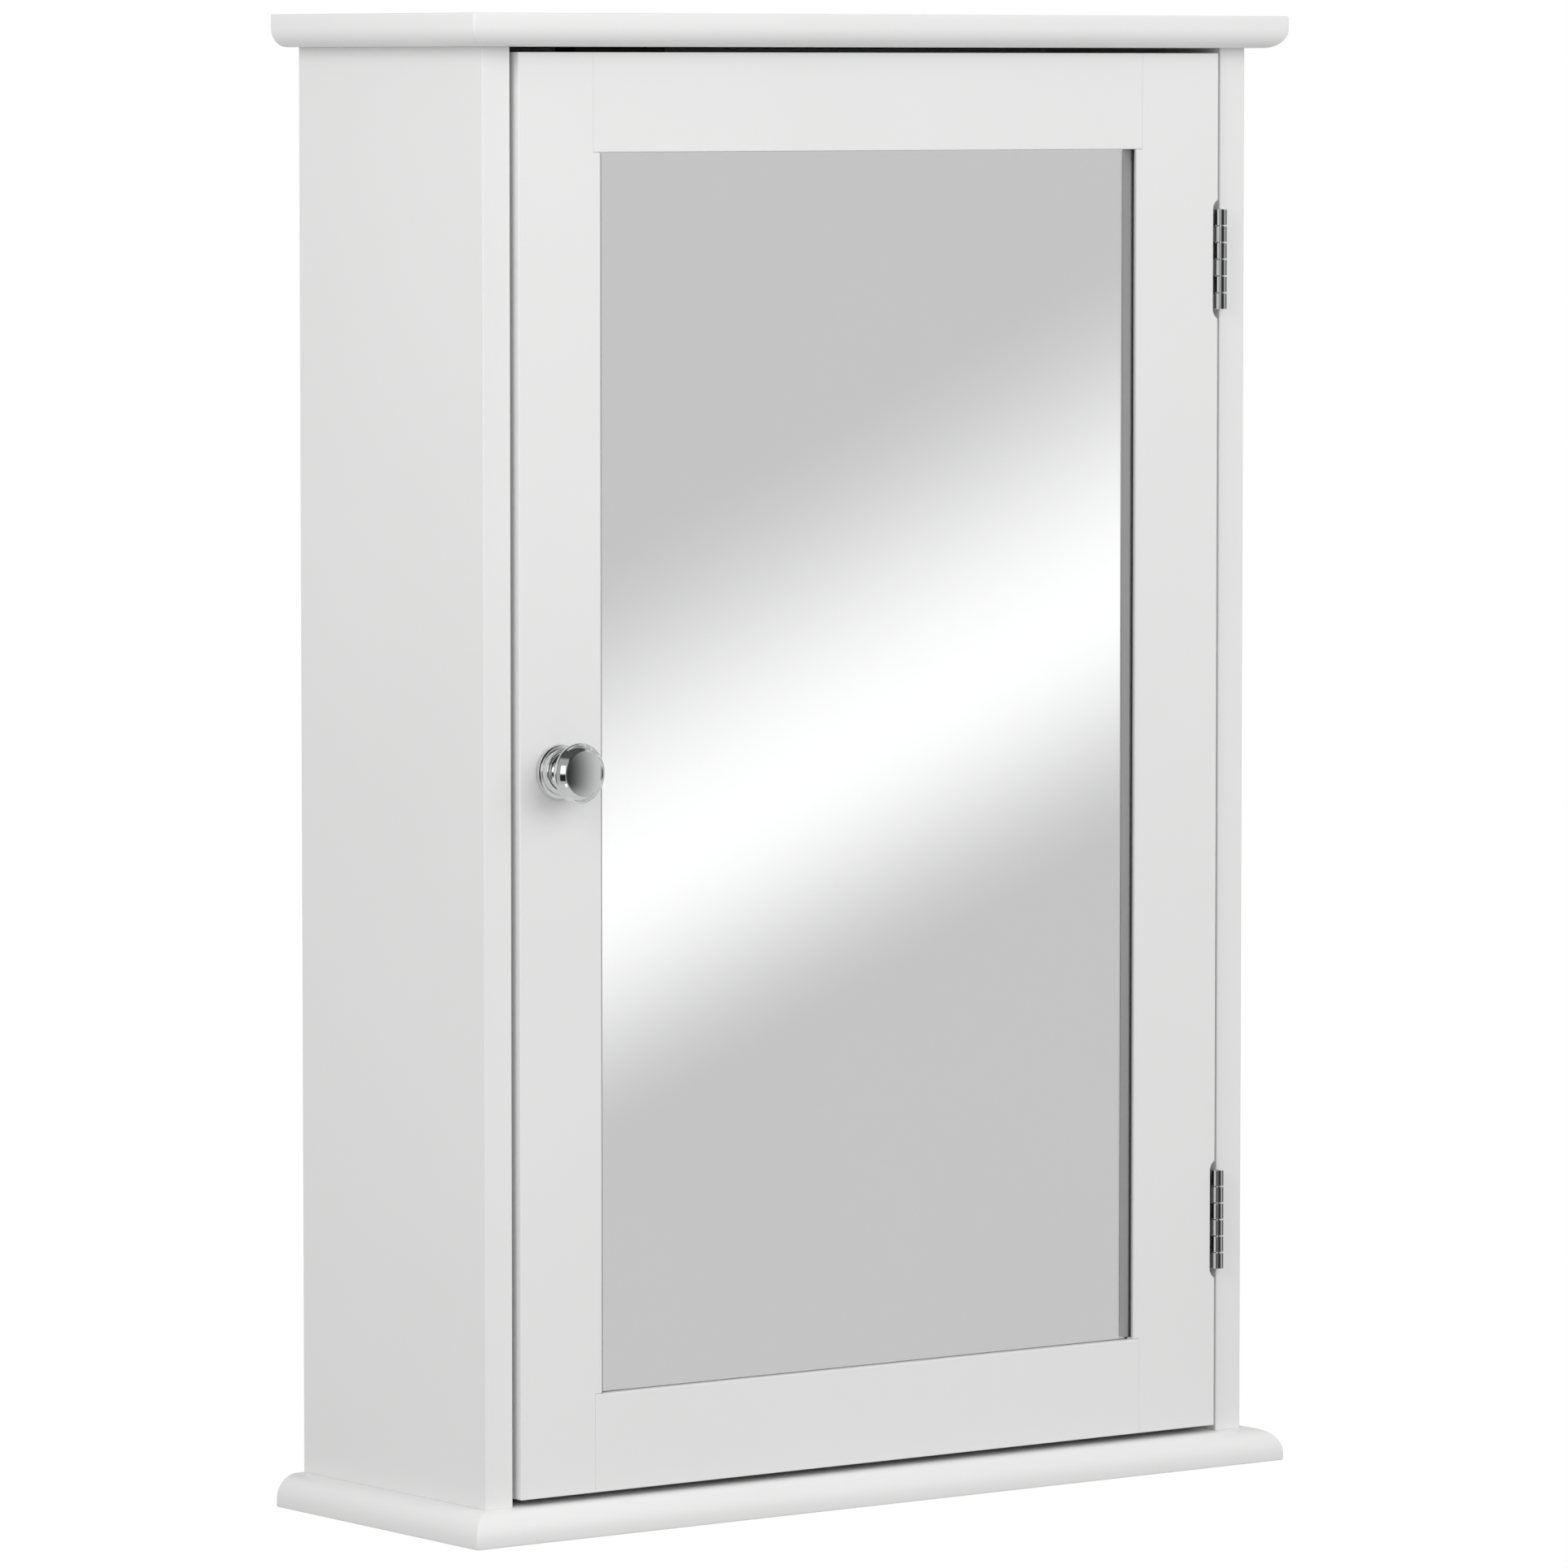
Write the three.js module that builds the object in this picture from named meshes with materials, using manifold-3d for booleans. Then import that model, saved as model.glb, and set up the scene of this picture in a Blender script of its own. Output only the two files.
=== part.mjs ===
// A wall-hung storage cabinet with one framed mirror door, in millimetres, +Z up.
// X runs to the right, Y back towards the wall, Z up. The wall is the plane y = 0.
// The origin is the centre of the hanging rail's rear face.
import * as THREE from 'three';
import { mergeVertices } from 'three/addons/utils/BufferGeometryUtils.js';
import Module from 'manifold-3d';

const wasm = await Module();
wasm.setup();

// ---- Carcass ----
const CARCASS_WIDTH = 351;
const CARCASS_DEPTH = 118;
const TOTAL_HEIGHT = 550;
const BOARD = 12; // thickness of every painted board
const OVERHANG = 12; // top and bottom boards past the sides and the front
const MOULDING_RADIUS = { top: 7, bottom: 9 }; // quarter rounds on the overhanging edges
const GAP = 0.3; // clearance between pieces that touch

// ---- Hanging rail and back ----
const RAIL_HEIGHT = 50;
const WALL_SCREW_SPACING = 200;
const WALL_HOLE_RADIUS = 2.75;
const WALL_SINK_RADIUS = 5;
const BACK_THICKNESS = 3;
const BACK_INSET = 6; // rear edges of the sides to the back panel
const GROOVE_DEPTH = 5;

// ---- Shelf and its pins ----
const SHELF_DEPTH = 85;
const SHELF_END_CLEARANCE = 0.5;
const SHELF_PIN_RADIUS = 2.5;
const SHELF_PIN_HALF_LENGTH = 8;
const SHELF_PIN_PITCH = 32;
const SHELF_PIN_INSET = 12; // from the shelf's front and rear edges

// ---- Knock-down fittings in the corners ----
const DOWEL_RADIUS = 3;
const DOWEL_DEPTH_BOARD = 8;
const DOWEL_DEPTH_PANEL = 16;
const DOWEL_SPACING = 32; // from the cam bolt, front and rear
const RAIL_DOWEL_HEIGHT = 14; // above and below the rail's middle
const RAIL_DOWEL_DEPTH_SIDE = 7;
const CAM_RADIUS = 6;
const CAM_DEPTH = 9.5;
const CAM_SETBACK = 24; // panel end to the cam's axis
const BOLT_RADIUS = 2.9;
const BOLT_DEPTH_BOARD = 9;

// ---- Door ----
const DOOR_PROUD = 2; // door face in front of the sides' edges
const DOOR_THICKNESS = 15;
const DOOR_SIDE_GAP = 2.3;
const DOOR_TOP_GAP = 1.9;
const DOOR_BOTTOM_GAP = 2.5;
const MEMBER = 36; // face width of the rails and the knob stile
const HINGE_STILE = 40; // face width of the stile with the hinges
const LIP = 3.6; // frame in front of the mirror
const REBATE = 8; // how far the mirror reaches behind the frame
const GLASS = 2;
const JOINT_STEP = 3.2; // rails past the opening, let into the stiles
const TONGUE = { length: 8, height: 20, thickness: 6 };

// ---- Hinges ----
const HINGE_SETBACK = { top: 91.5, bottom: 93.5 }; // hinge centres from the cabinet's top and bottom
const HINGE_LENGTH = 38;
const KNUCKLES = 6;
const KNUCKLE_RADIUS = 2.15;
const KNUCKLE_BORE = 1.15;
const PIN_RADIUS = 0.9;
const PIN_AHEAD = 2.4; // pin axis in front of the sides' edges
const LEAF_THICKNESS = 0.8;
const LEAF_GAP = 0.3; // between the two closed leaves
const LEAF_WIDTH = 10;
const NOTCH_RADIUS = 3.4; // relief in the door's edge round the knuckles
const HINGE_SCREW_OFFSET = 11;

// ---- Small screws, used for the hinges, the catch and the strike plate ----
const SCREW = { head: 2.3, sink: 1.4, shank: 1.3, length: 10.5, point: 1.2 };
const SCREW_PLAY = 0.2;

// ---- Knob ----
const KNOB_SETBACK = 17; // from the door's free edge
const KNOB_RISE = 2.5; // above the door's middle
const KNOB_FLANGE_RADIUS = 10;
const KNOB_HEAD_RADIUS = 11;
const KNOB_NECK_RADIUS = 5;
const KNOB_PROJECTION = 17.4;
const KNOB_BORE_RADIUS = 2.2;
const KNOB_BORE_DEPTH = 9;
const KNOB_SCREW_RADIUS = 1.95;

// ---- Magnetic catch ----
const CATCH_X = -104; // on the top rail, near the knob
const CATCH = { body: 26, ears: 40, height: 14, depth: 13, ear: 3 };
const MAGNET = { width: 20, height: 7, depth: 9, proud: 0.4 };
const STRIKE = { width: 30, height: 12, thickness: 1 };

// ---- Planes worked out from the dimensions above ----
const TOP_UNDERSIDE = RAIL_HEIGHT / 2;
const CABINET_TOP = TOP_UNDERSIDE + BOARD;
const CABINET_BOTTOM = CABINET_TOP - TOTAL_HEIGHT;
const FLOOR_TOP = CABINET_BOTTOM + BOARD;
const MID_HEIGHT = (TOP_UNDERSIDE + FLOOR_TOP) / 2;
const SIDE_OUTER = CARCASS_WIDTH / 2;
const SIDE_INNER = SIDE_OUTER - BOARD;
const SIDE_MIDDLE = SIDE_INNER + BOARD / 2;
const FRONT = -CARCASS_DEPTH;
const MID_DEPTH = FRONT / 2;
const BACK_REAR = -BACK_INSET;
const BACK_FRONT = BACK_REAR - BACK_THICKNESS;
const BACK_TOP = -RAIL_HEIGHT / 2 + GROOVE_DEPTH;

const SHELF_UNDERSIDE = MID_HEIGHT - BOARD / 2;
const SHELF_REAR = BACK_FRONT - 1;
const SHELF_FRONT = SHELF_REAR - SHELF_DEPTH;
const SHELF_PIN_Z = SHELF_UNDERSIDE - GAP - SHELF_PIN_RADIUS;

const DOOR_FRONT = FRONT - DOOR_PROUD;
const DOOR_BACK = DOOR_FRONT + DOOR_THICKNESS;
const DOOR_SIDE = SIDE_INNER - DOOR_SIDE_GAP;
const DOOR_TOP = TOP_UNDERSIDE - DOOR_TOP_GAP;
const DOOR_BOTTOM = FLOOR_TOP + DOOR_BOTTOM_GAP;
const DOOR_MIDDLE = (DOOR_TOP + DOOR_BOTTOM) / 2;
const OPENING = [MEMBER - DOOR_SIDE, DOOR_SIDE - HINGE_STILE]; // between the stiles
const OPENING_TOP = DOOR_TOP - MEMBER;
const OPENING_BOTTOM = DOOR_BOTTOM + MEMBER;
const GLASS_FRONT = DOOR_FRONT + LIP;

const PIN_X = SIDE_INNER - DOOR_SIDE_GAP / 2;
const PIN_Y = FRONT - PIN_AHEAD;
const HINGE_HEIGHTS = {
  top: CABINET_TOP - HINGE_SETBACK.top,
  bottom: CABINET_BOTTOM + HINGE_SETBACK.bottom,
};
const LEAF_FRONT = FRONT;
const LEAF_BACK = LEAF_FRONT + LEAF_WIDTH;
const LEAF_MIDDLE = (LEAF_FRONT + LEAF_BACK) / 2;
const LEAF_INNER = LEAF_GAP / 2;
const LEAF_OUTER = LEAF_INNER + LEAF_THICKNESS;
const SCREW_FACE = LEAF_INNER + 0.1; // screw heads lie just below the leaf's face

const KNOB_X = KNOB_SETBACK - DOOR_SIDE;
const KNOB_Z = DOOR_MIDDLE + KNOB_RISE;
const STRIKE_Z = DOOR_TOP - 9;
const CATCH_FRONT = DOOR_BACK + STRIKE.thickness + 3 * GAP + MAGNET.proud;

// Colour, roughness and metalness of each finish.
const LOOKS = {
  lacquer: [0xf2f2f1, 0.42, 0],
  hardboard: [0xe9e9e6, 0.6, 0],
  fibreboard: [0x8a6a48, 0.85, 0],
  mirror: [0xe4e7e8, 0.03, 1],
  chrome: [0xd2d5d7, 0.08, 1],
  nickel: [0xc4c6c6, 0.2, 1],
  zinc: [0xa8abad, 0.4, 1],
  beech: [0xd8b486, 0.7, 0],
  plastic: [0x2b2826, 0.5, 0],
  magnet: [0x4a4b4d, 0.5, 0.6],
};

// Corners of the carcass: side is -1 left or +1 right, end is +1 top or -1 bottom.
const CORNERS = [
  { name: 'top_left', side: -1, end: 1, plane: TOP_UNDERSIDE },
  { name: 'top_right', side: 1, end: 1, plane: TOP_UNDERSIDE },
  { name: 'bottom_left', side: -1, end: -1, plane: FLOOR_TOP },
  { name: 'bottom_right', side: 1, end: -1, plane: FLOOR_TOP },
];
const SHELF_PIN_DEPTHS = {
  front: SHELF_FRONT + SHELF_PIN_INSET,
  rear: SHELF_REAR - SHELF_PIN_INSET,
};

// ================= Solids =================

// A closed geometry as a solid that can be cut and joined.
function solid(geometry) {
  const bare = geometry.clone();
  bare.deleteAttribute('normal');
  bare.deleteAttribute('uv');
  const merged = mergeVertices(bare);
  return new wasm.Manifold(new wasm.Mesh({
    numProp: 3,
    vertProperties: merged.attributes.position.array,
    triVerts: new Uint32Array(merged.index.array),
  }));
}

// A box given by its low and high limits on each axis.
function block([x0, x1], [y0, y1], [z0, z1]) {
  const geometry = new THREE.BoxGeometry(x1 - x0, y1 - y0, z1 - z0);
  geometry.translate((x0 + x1) / 2, (y0 + y1) / 2, (z0 + z1) / 2);
  return solid(geometry);
}

// Points a geometry that was made along +Y along another axis.
function aim(geometry, axis) {
  if (axis === 'x') geometry.rotateZ(-Math.PI / 2);
  if (axis === 'z') geometry.rotateX(Math.PI / 2);
  if (axis === '-y') geometry.rotateX(Math.PI);
  return geometry;
}

// A turned solid. The profile lists [distance along the axis, radius] and closes on the axis.
function turned(profile, axis, segments = 10) {
  const first = profile[0][0];
  const last = profile[profile.length - 1][0];
  const outline = [[first, 0], ...profile, [last, 0]];
  const points = outline.map(([along, radius]) => new THREE.Vector2(radius, along));
  return solid(aim(new THREE.LatheGeometry(points, segments), axis));
}

// A straight round bar on an axis between two places on it.
function bar(axis, radius, from, to, [x, y, z], segments = 10) {
  const ends = [[Math.min(from, to), radius], [Math.max(from, to), radius]];
  return turned(ends, axis, segments).translate([x, y, z]);
}

// Cuts every tool out of a solid.
function cut(body, tools) {
  return tools.reduce((left, tool) => left.subtract(tool), body);
}

// A named mesh of a solid with its own material.
function piece(name, shape, look) {
  const { vertProperties, triVerts } = shape.getMesh();
  const geometry = new THREE.BufferGeometry();
  geometry.setAttribute('position', new THREE.BufferAttribute(vertProperties, 3));
  geometry.setIndex(new THREE.BufferAttribute(triVerts, 1));
  geometry.computeVertexNormals();
  const [color, roughness, metalness] = LOOKS[look];
  const material = new THREE.MeshStandardMaterial({ color, roughness, metalness });
  const mesh = new THREE.Mesh(geometry, material);
  mesh.name = name;
  return mesh;
}

// ================= Fittings and the holes they sit in =================

// The hole for one small screw, whose head face is at 0 and whose point lies along +X.
function screwHole() {
  return turned([
    [-1, SCREW.head + SCREW_PLAY],
    [0, SCREW.head + SCREW_PLAY],
    [SCREW.sink, SCREW.shank + SCREW_PLAY],
    [SCREW.length + SCREW_PLAY, SCREW.shank + SCREW_PLAY],
  ], 'x');
}

function smallScrew() {
  const body = turned([
    [0, SCREW.head],
    [SCREW.sink, SCREW.shank],
    [SCREW.length - SCREW.point, SCREW.shank],
    [SCREW.length, 0.3],
  ], 'x');
  const slot = { depth: 0.7, width: 0.6, reach: 1.5 };
  const upright = block([-1, slot.depth], [-slot.width / 2, slot.width / 2], [-slot.reach, slot.reach]);
  const across = block([-1, slot.depth], [-slot.reach, slot.reach], [-slot.width / 2, slot.width / 2]);
  return cut(body, [upright, across]);
}

// Dowel and cam bolt holes at one corner, cut alike from the board and the side panel.
function cornerHoles({ side, end, plane }) {
  const x = side * SIDE_MIDDLE;
  const dowelHole = (y) => bar('z', DOWEL_RADIUS + GAP, -end * (DOWEL_DEPTH_PANEL + GAP),
    end * (DOWEL_DEPTH_BOARD + GAP), [x, y, plane]);
  const boltHole = bar('z', BOLT_RADIUS + GAP, -end * CAM_SETBACK,
    end * (BOLT_DEPTH_BOARD + GAP), [x, MID_DEPTH, plane]);
  return [dowelHole(MID_DEPTH - DOWEL_SPACING), dowelHole(MID_DEPTH + DOWEL_SPACING), boltHole];
}

function cornersWhere(test) {
  return CORNERS.filter(test).flatMap(cornerHoles);
}

// ================= Carcass =================

// Section of a board's moulded edge: square for the first part, then a quarter round.
// It runs from the square face at height 0 to the far face at height BOARD.
function mouldedSection(reach, radius, isDoubleSided) {
  const shape = new THREE.Shape();
  const centre = BOARD - radius;
  const far = reach - radius;
  shape.moveTo(reach, 0);
  shape.lineTo(reach, centre);
  shape.absarc(far, centre, radius, 0, Math.PI / 2, false);
  if (isDoubleSided) {
    shape.absarc(-far, centre, radius, Math.PI / 2, Math.PI, false);
    shape.lineTo(-reach, 0);
  } else {
    shape.lineTo(0, BOARD);
    shape.lineTo(0, 0);
  }
  return shape;
}

// A moulded board with its square face at z = 0 and its rounded edges towards +Z.
// Two extruded sections, one across and one along, meet in mitred corners.
function mouldedBoard(radius) {
  const halfWidth = SIDE_OUTER + OVERHANG;
  const depth = CARCASS_DEPTH + OVERHANG;
  const across = new THREE.ExtrudeGeometry(mouldedSection(halfWidth, radius, true),
    { depth, bevelEnabled: false, curveSegments: 6 });
  across.rotateX(Math.PI / 2);
  const along = new THREE.ExtrudeGeometry(mouldedSection(depth, radius, false),
    { depth: 2 * halfWidth, bevelEnabled: false, curveSegments: 6 });
  along.rotateX(Math.PI / 2);
  along.rotateZ(-Math.PI / 2);
  along.translate(halfWidth, 0, 0);
  return solid(across).intersect(solid(along));
}

function topBoard() {
  const board = mouldedBoard(MOULDING_RADIUS.top).rotate([0, 180, 0]).translate([0, 0, CABINET_TOP]);
  return cut(board, [...cornersWhere(({ end }) => end > 0), ...catchScrewHoles()]);
}

function bottomBoard() {
  const board = mouldedBoard(MOULDING_RADIUS.bottom).translate([0, 0, CABINET_BOTTOM]);
  return cut(board, [...cornersWhere(({ end }) => end < 0), backGroove()]);
}

// The groove that takes the back panel's edges in the sides, the bottom board and the rail.
function backGroove() {
  const reach = SIDE_INNER + GROOVE_DEPTH;
  return block([-reach, reach], [BACK_FRONT - GAP, BACK_REAR + GAP],
    [FLOOR_TOP - GROOVE_DEPTH, BACK_TOP + GAP]);
}

function backPanel() {
  const reach = SIDE_INNER + GROOVE_DEPTH - GAP;
  return block([-reach, reach], [BACK_FRONT, BACK_REAR], [FLOOR_TOP - GROOVE_DEPTH + GAP, BACK_TOP]);
}

function railDowelHole(side, z) {
  return bar('x', DOWEL_RADIUS + GAP, side * (SIDE_INNER - DOWEL_DEPTH_PANEL - GAP),
    side * (SIDE_INNER + RAIL_DOWEL_DEPTH_SIDE + GAP), [0, -BOARD / 2, z]);
}

function railDowelHoles(side) {
  return [-RAIL_DOWEL_HEIGHT, RAIL_DOWEL_HEIGHT].map((z) => railDowelHole(side, z));
}

function sidePanel(side) {
  const [inner, outer] = [side * SIDE_INNER, side * SIDE_OUTER];
  const panel = block([Math.min(inner, outer), Math.max(inner, outer)], [FRONT, 0],
    [FLOOR_TOP + GAP, TOP_UNDERSIDE - GAP]);
  const camHoles = CORNERS.filter((corner) => corner.side === side).map(({ end, plane }) => (
    bar('x', CAM_RADIUS + GAP, inner - side, inner + side * (CAM_DEPTH + GAP),
      [0, MID_DEPTH, plane - end * CAM_SETBACK], 20)));
  const pinHoles = [-1, 0, 1].flatMap((row) => Object.values(SHELF_PIN_DEPTHS).map((y) => (
    bar('x', SHELF_PIN_RADIUS + GAP, inner - side, inner + side * (SHELF_PIN_HALF_LENGTH + GAP),
      [0, y, SHELF_PIN_Z + row * SHELF_PIN_PITCH]))));
  const corners = cornersWhere((corner) => corner.side === side);
  const hinges = side > 0 ? hingeScrewHoles(1) : [];
  const bores = [...camHoles, ...pinHoles, ...railDowelHoles(side)];
  return cut(panel, [...corners, ...bores, backGroove(), ...hinges]);
}

function hangingRail() {
  const rail = block([-SIDE_INNER + GAP, SIDE_INNER - GAP], [-BOARD, 0],
    [-TOP_UNDERSIDE + GAP, TOP_UNDERSIDE - GAP]);
  const wallHole = turned([
    [-BOARD - 1, WALL_SINK_RADIUS + 1],
    [-BOARD + WALL_SINK_RADIUS - WALL_HOLE_RADIUS, WALL_HOLE_RADIUS],
    [1, WALL_HOLE_RADIUS],
  ], 'y', 20);
  const wallHoles = [-1, 1].map((side) => wallHole.translate([side * WALL_SCREW_SPACING / 2, 0, 0]));
  return cut(rail, [...wallHoles, ...railDowelHoles(-1), ...railDowelHoles(1), backGroove()]);
}

function shelf() {
  const reach = SIDE_INNER - SHELF_END_CLEARANCE;
  return block([-reach, reach], [SHELF_FRONT, SHELF_REAR], [SHELF_UNDERSIDE, SHELF_UNDERSIDE + BOARD]);
}

// A beech dowel, centred.
function dowel(axis, length) {
  const half = length / 2 - GAP;
  return turned([[-half, DOWEL_RADIUS], [half, DOWEL_RADIUS]], axis);
}

// A cam bolt standing on the joint plane: thread upwards, shank and ball down to the cam.
function camBolt() {
  return turned([
    [-CAM_SETBACK - 0.5, 2.3],
    [-CAM_SETBACK + 2, 2.3],
    [-CAM_SETBACK + 2.6, 1.2],
    [-CAM_SETBACK + 5, 1.2],
    [-CAM_SETBACK + 5.6, 1.9],
    [-0.5, 1.9],
    [-0.5, BOLT_RADIUS],
    [BOLT_DEPTH_BOARD, BOLT_RADIUS],
  ], 'z');
}

// A cam let into the side panel along +X, with its slot open towards +Z.
function camLock() {
  const body = turned([[0.1, CAM_RADIUS - 0.4], [0.5, CAM_RADIUS], [CAM_DEPTH, CAM_RADIUS]], 'x', 20);
  const slot = { half: 2.8, below: -1.4 };
  const middle = BOARD / 2;
  const pocket = block([middle - slot.half, middle + slot.half], [-slot.half, slot.half],
    [slot.below, CAM_RADIUS + 1]);
  const cross = { depth: 2, half: 0.7, reach: 3.6 };
  const upright = block([-1, cross.depth], [-cross.half, cross.half], [-cross.reach, cross.reach]);
  const across = block([-1, cross.depth], [-cross.reach, cross.reach], [-cross.half, cross.half]);
  return cut(body, [pocket, upright, across]);
}

function shelfPin() {
  const half = SHELF_PIN_HALF_LENGTH;
  return turned([
    [-half, SHELF_PIN_RADIUS - 0.7],
    [-half + 0.7, SHELF_PIN_RADIUS],
    [half - 0.7, SHELF_PIN_RADIUS],
    [half, SHELF_PIN_RADIUS - 0.7],
  ], 'x');
}

// Puts a mesh at a place, with an optional half turn about Z for the other hand.
function place(mesh, x, y, z, isTurned = false) {
  mesh.position.set(x, y, z);
  if (isTurned) mesh.rotation.z = Math.PI;
  return mesh;
}

function cornerFittings(group) {
  const dowelLength = DOWEL_DEPTH_BOARD + DOWEL_DEPTH_PANEL;
  const shift = (DOWEL_DEPTH_PANEL - DOWEL_DEPTH_BOARD) / 2;
  for (const { name, side, end, plane } of CORNERS) {
    const x = side * SIDE_MIDDLE;
    for (const [where, direction] of [['front', -1], ['rear', 1]]) {
      const mesh = piece(`dowel_${name}_${where}`, dowel('z', dowelLength), 'beech');
      group.add(place(mesh, x, MID_DEPTH + direction * DOWEL_SPACING, plane - end * shift));
    }
    const bolt = place(piece(`cam_bolt_${name}`, camBolt(), 'zinc'), x, MID_DEPTH, plane);
    if (end < 0) bolt.rotation.x = Math.PI;
    group.add(bolt);
    const cam = piece(`cam_lock_${name}`, camLock(), 'zinc');
    cam.position.set(side * SIDE_INNER, MID_DEPTH, plane - end * CAM_SETBACK);
    cam.rotation.y = side > 0 ? 0 : Math.PI;
    if (side * end < 0) cam.rotation.x = Math.PI;
    group.add(cam);
  }
}

function railDowels(group) {
  const length = DOWEL_DEPTH_PANEL + RAIL_DOWEL_DEPTH_SIDE;
  const x = SIDE_INNER - (DOWEL_DEPTH_PANEL - RAIL_DOWEL_DEPTH_SIDE) / 2;
  for (const [hand, side] of [['left', -1], ['right', 1]]) {
    for (const [where, direction] of [['lower', -1], ['upper', 1]]) {
      const mesh = piece(`dowel_rail_${hand}_${where}`, dowel('x', length), 'beech');
      group.add(place(mesh, side * x, -BOARD / 2, direction * RAIL_DOWEL_HEIGHT));
    }
  }
}

function shelfPins(group) {
  for (const [hand, side] of [['left', -1], ['right', 1]]) {
    for (const [where, y] of Object.entries(SHELF_PIN_DEPTHS)) {
      const pin = piece(`shelf_pin_${hand}_${where}`, shelfPin(), 'nickel');
      group.add(place(pin, side * SIDE_INNER, y, SHELF_PIN_Z));
    }
  }
}

function carcass() {
  const group = new THREE.Group();
  group.add(
    piece('top_board', topBoard(), 'lacquer'),
    piece('bottom_board', bottomBoard(), 'lacquer'),
    piece('side_panel_left', sidePanel(-1), 'lacquer'),
    piece('side_panel_right', sidePanel(1), 'lacquer'),
    piece('back_panel', backPanel(), 'hardboard'),
    piece('hanging_rail', hangingRail(), 'lacquer'),
    piece('shelf', shelf(), 'lacquer'),
  );
  cornerFittings(group);
  railDowels(group);
  shelfPins(group);
  return group;
}

// ================= Magnetic catch =================

// Screw head faces of the catch, under its two ears, with the screws pointing up.
function catchScrewPlaces() {
  const offset = (CATCH.ears + CATCH.body) / 4;
  const y = CATCH_FRONT + CATCH.depth / 2;
  const z = TOP_UNDERSIDE - GAP - CATCH.ear + 0.1;
  return [['left', -1], ['right', 1]].map(([hand, side]) => (
    { hand, x: CATCH_X + side * offset, y, z }));
}

function catchScrewHoles() {
  return catchScrewPlaces().map(({ x, y, z }) => (
    screwHole().rotate([0, -90, 0]).translate([x, y, z])));
}

function catchHousing() {
  const top = TOP_UNDERSIDE - GAP;
  const depths = [CATCH_FRONT, CATCH_FRONT + CATCH.depth];
  const half = CATCH.body / 2;
  const body = block([CATCH_X - half, CATCH_X + half], depths, [top - CATCH.height, top]);
  const reach = CATCH.ears / 2;
  const ears = block([CATCH_X - reach, CATCH_X + reach], depths, [top - CATCH.ear, top]);
  const pocketHalf = MAGNET.width / 2 + GAP;
  const pocketHeight = MAGNET.height / 2 + GAP;
  const pocket = block([CATCH_X - pocketHalf, CATCH_X + pocketHalf],
    [CATCH_FRONT - 1, CATCH_FRONT + MAGNET.depth + GAP],
    [STRIKE_Z - pocketHeight, STRIKE_Z + pocketHeight]);
  return cut(body.add(ears), [pocket, ...catchScrewHoles()]);
}

// A magnet between two steel cheeks, standing just proud of its housing.
function catchMagnet() {
  const half = MAGNET.width / 2;
  const rise = MAGNET.height / 2;
  const body = block([-half, half], [0, MAGNET.depth], [-rise, rise]);
  const groove = block([-half - 1, half + 1], [-1, MAGNET.proud], [-rise + 1.4, rise - 1.4]);
  return cut(body, [groove]);
}

function magneticCatch() {
  const group = new THREE.Group();
  group.add(piece('catch_housing', catchHousing(), 'plastic'));
  const magnet = piece('catch_magnet', catchMagnet(), 'magnet');
  group.add(place(magnet, CATCH_X, CATCH_FRONT - MAGNET.proud, STRIKE_Z));
  for (const { hand, x, y, z } of catchScrewPlaces()) {
    const screw = place(piece(`catch_screw_${hand}`, smallScrew(), 'zinc'), x, y, z);
    screw.rotation.y = -Math.PI / 2;
    group.add(screw);
  }
  return group;
}

// ================= Door =================

function openingEdge(side) {
  return side < 0 ? OPENING[0] : OPENING[1];
}

// The rebate behind the frame's lip that holds the mirror and its backing.
function mirrorRebate() {
  return block([OPENING[0] - REBATE, OPENING[1] + REBATE], [GLASS_FRONT, DOOR_BACK + 1],
    [OPENING_BOTTOM - REBATE, OPENING_TOP + REBATE]);
}

// Limits of a rail's tongue in height, in the solid part of the rail beyond the rebate.
function tongueHeights(end) {
  const outer = end > 0 ? DOOR_TOP : DOOR_BOTTOM;
  const near = outer - end * (MEMBER - REBATE - TONGUE.height) / 2;
  const far = near - end * TONGUE.height;
  return [Math.min(near, far), Math.max(near, far)];
}

function tongue(end, play) {
  const reach = TONGUE.length + play;
  const middle = (DOOR_FRONT + DOOR_BACK) / 2;
  const half = TONGUE.thickness / 2 + play;
  const [low, high] = tongueHeights(end);
  return block([OPENING[0] - reach, OPENING[1] + reach], [middle - half, middle + half],
    [low - play, high + play]);
}

// The step in a stile that takes the end of a rail.
function railStep(side, end) {
  const near = openingEdge(side) - side;
  const far = openingEdge(side) + side * JOINT_STEP;
  const inner = end > 0 ? OPENING_TOP - GAP : OPENING_BOTTOM + GAP;
  const outer = end > 0 ? DOOR_TOP + 1 : DOOR_BOTTOM - 1;
  return block([Math.min(near, far), Math.max(near, far)], [DOOR_FRONT - 1, DOOR_BACK + 1],
    [Math.min(inner, outer), Math.max(inner, outer)]);
}

function doorRail(end) {
  const [outer, inner] = end > 0 ? [DOOR_TOP, OPENING_TOP] : [DOOR_BOTTOM, OPENING_BOTTOM];
  const reach = JOINT_STEP - GAP;
  const heights = [Math.min(outer, inner), Math.max(outer, inner)];
  const rail = block([OPENING[0] - reach, OPENING[1] + reach], [DOOR_FRONT, DOOR_BACK], heights);
  const tools = [mirrorRebate()];
  if (end > 0) tools.push(strikeScrewHole());
  return cut(rail.add(tongue(end, 0)), tools);
}

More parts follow.
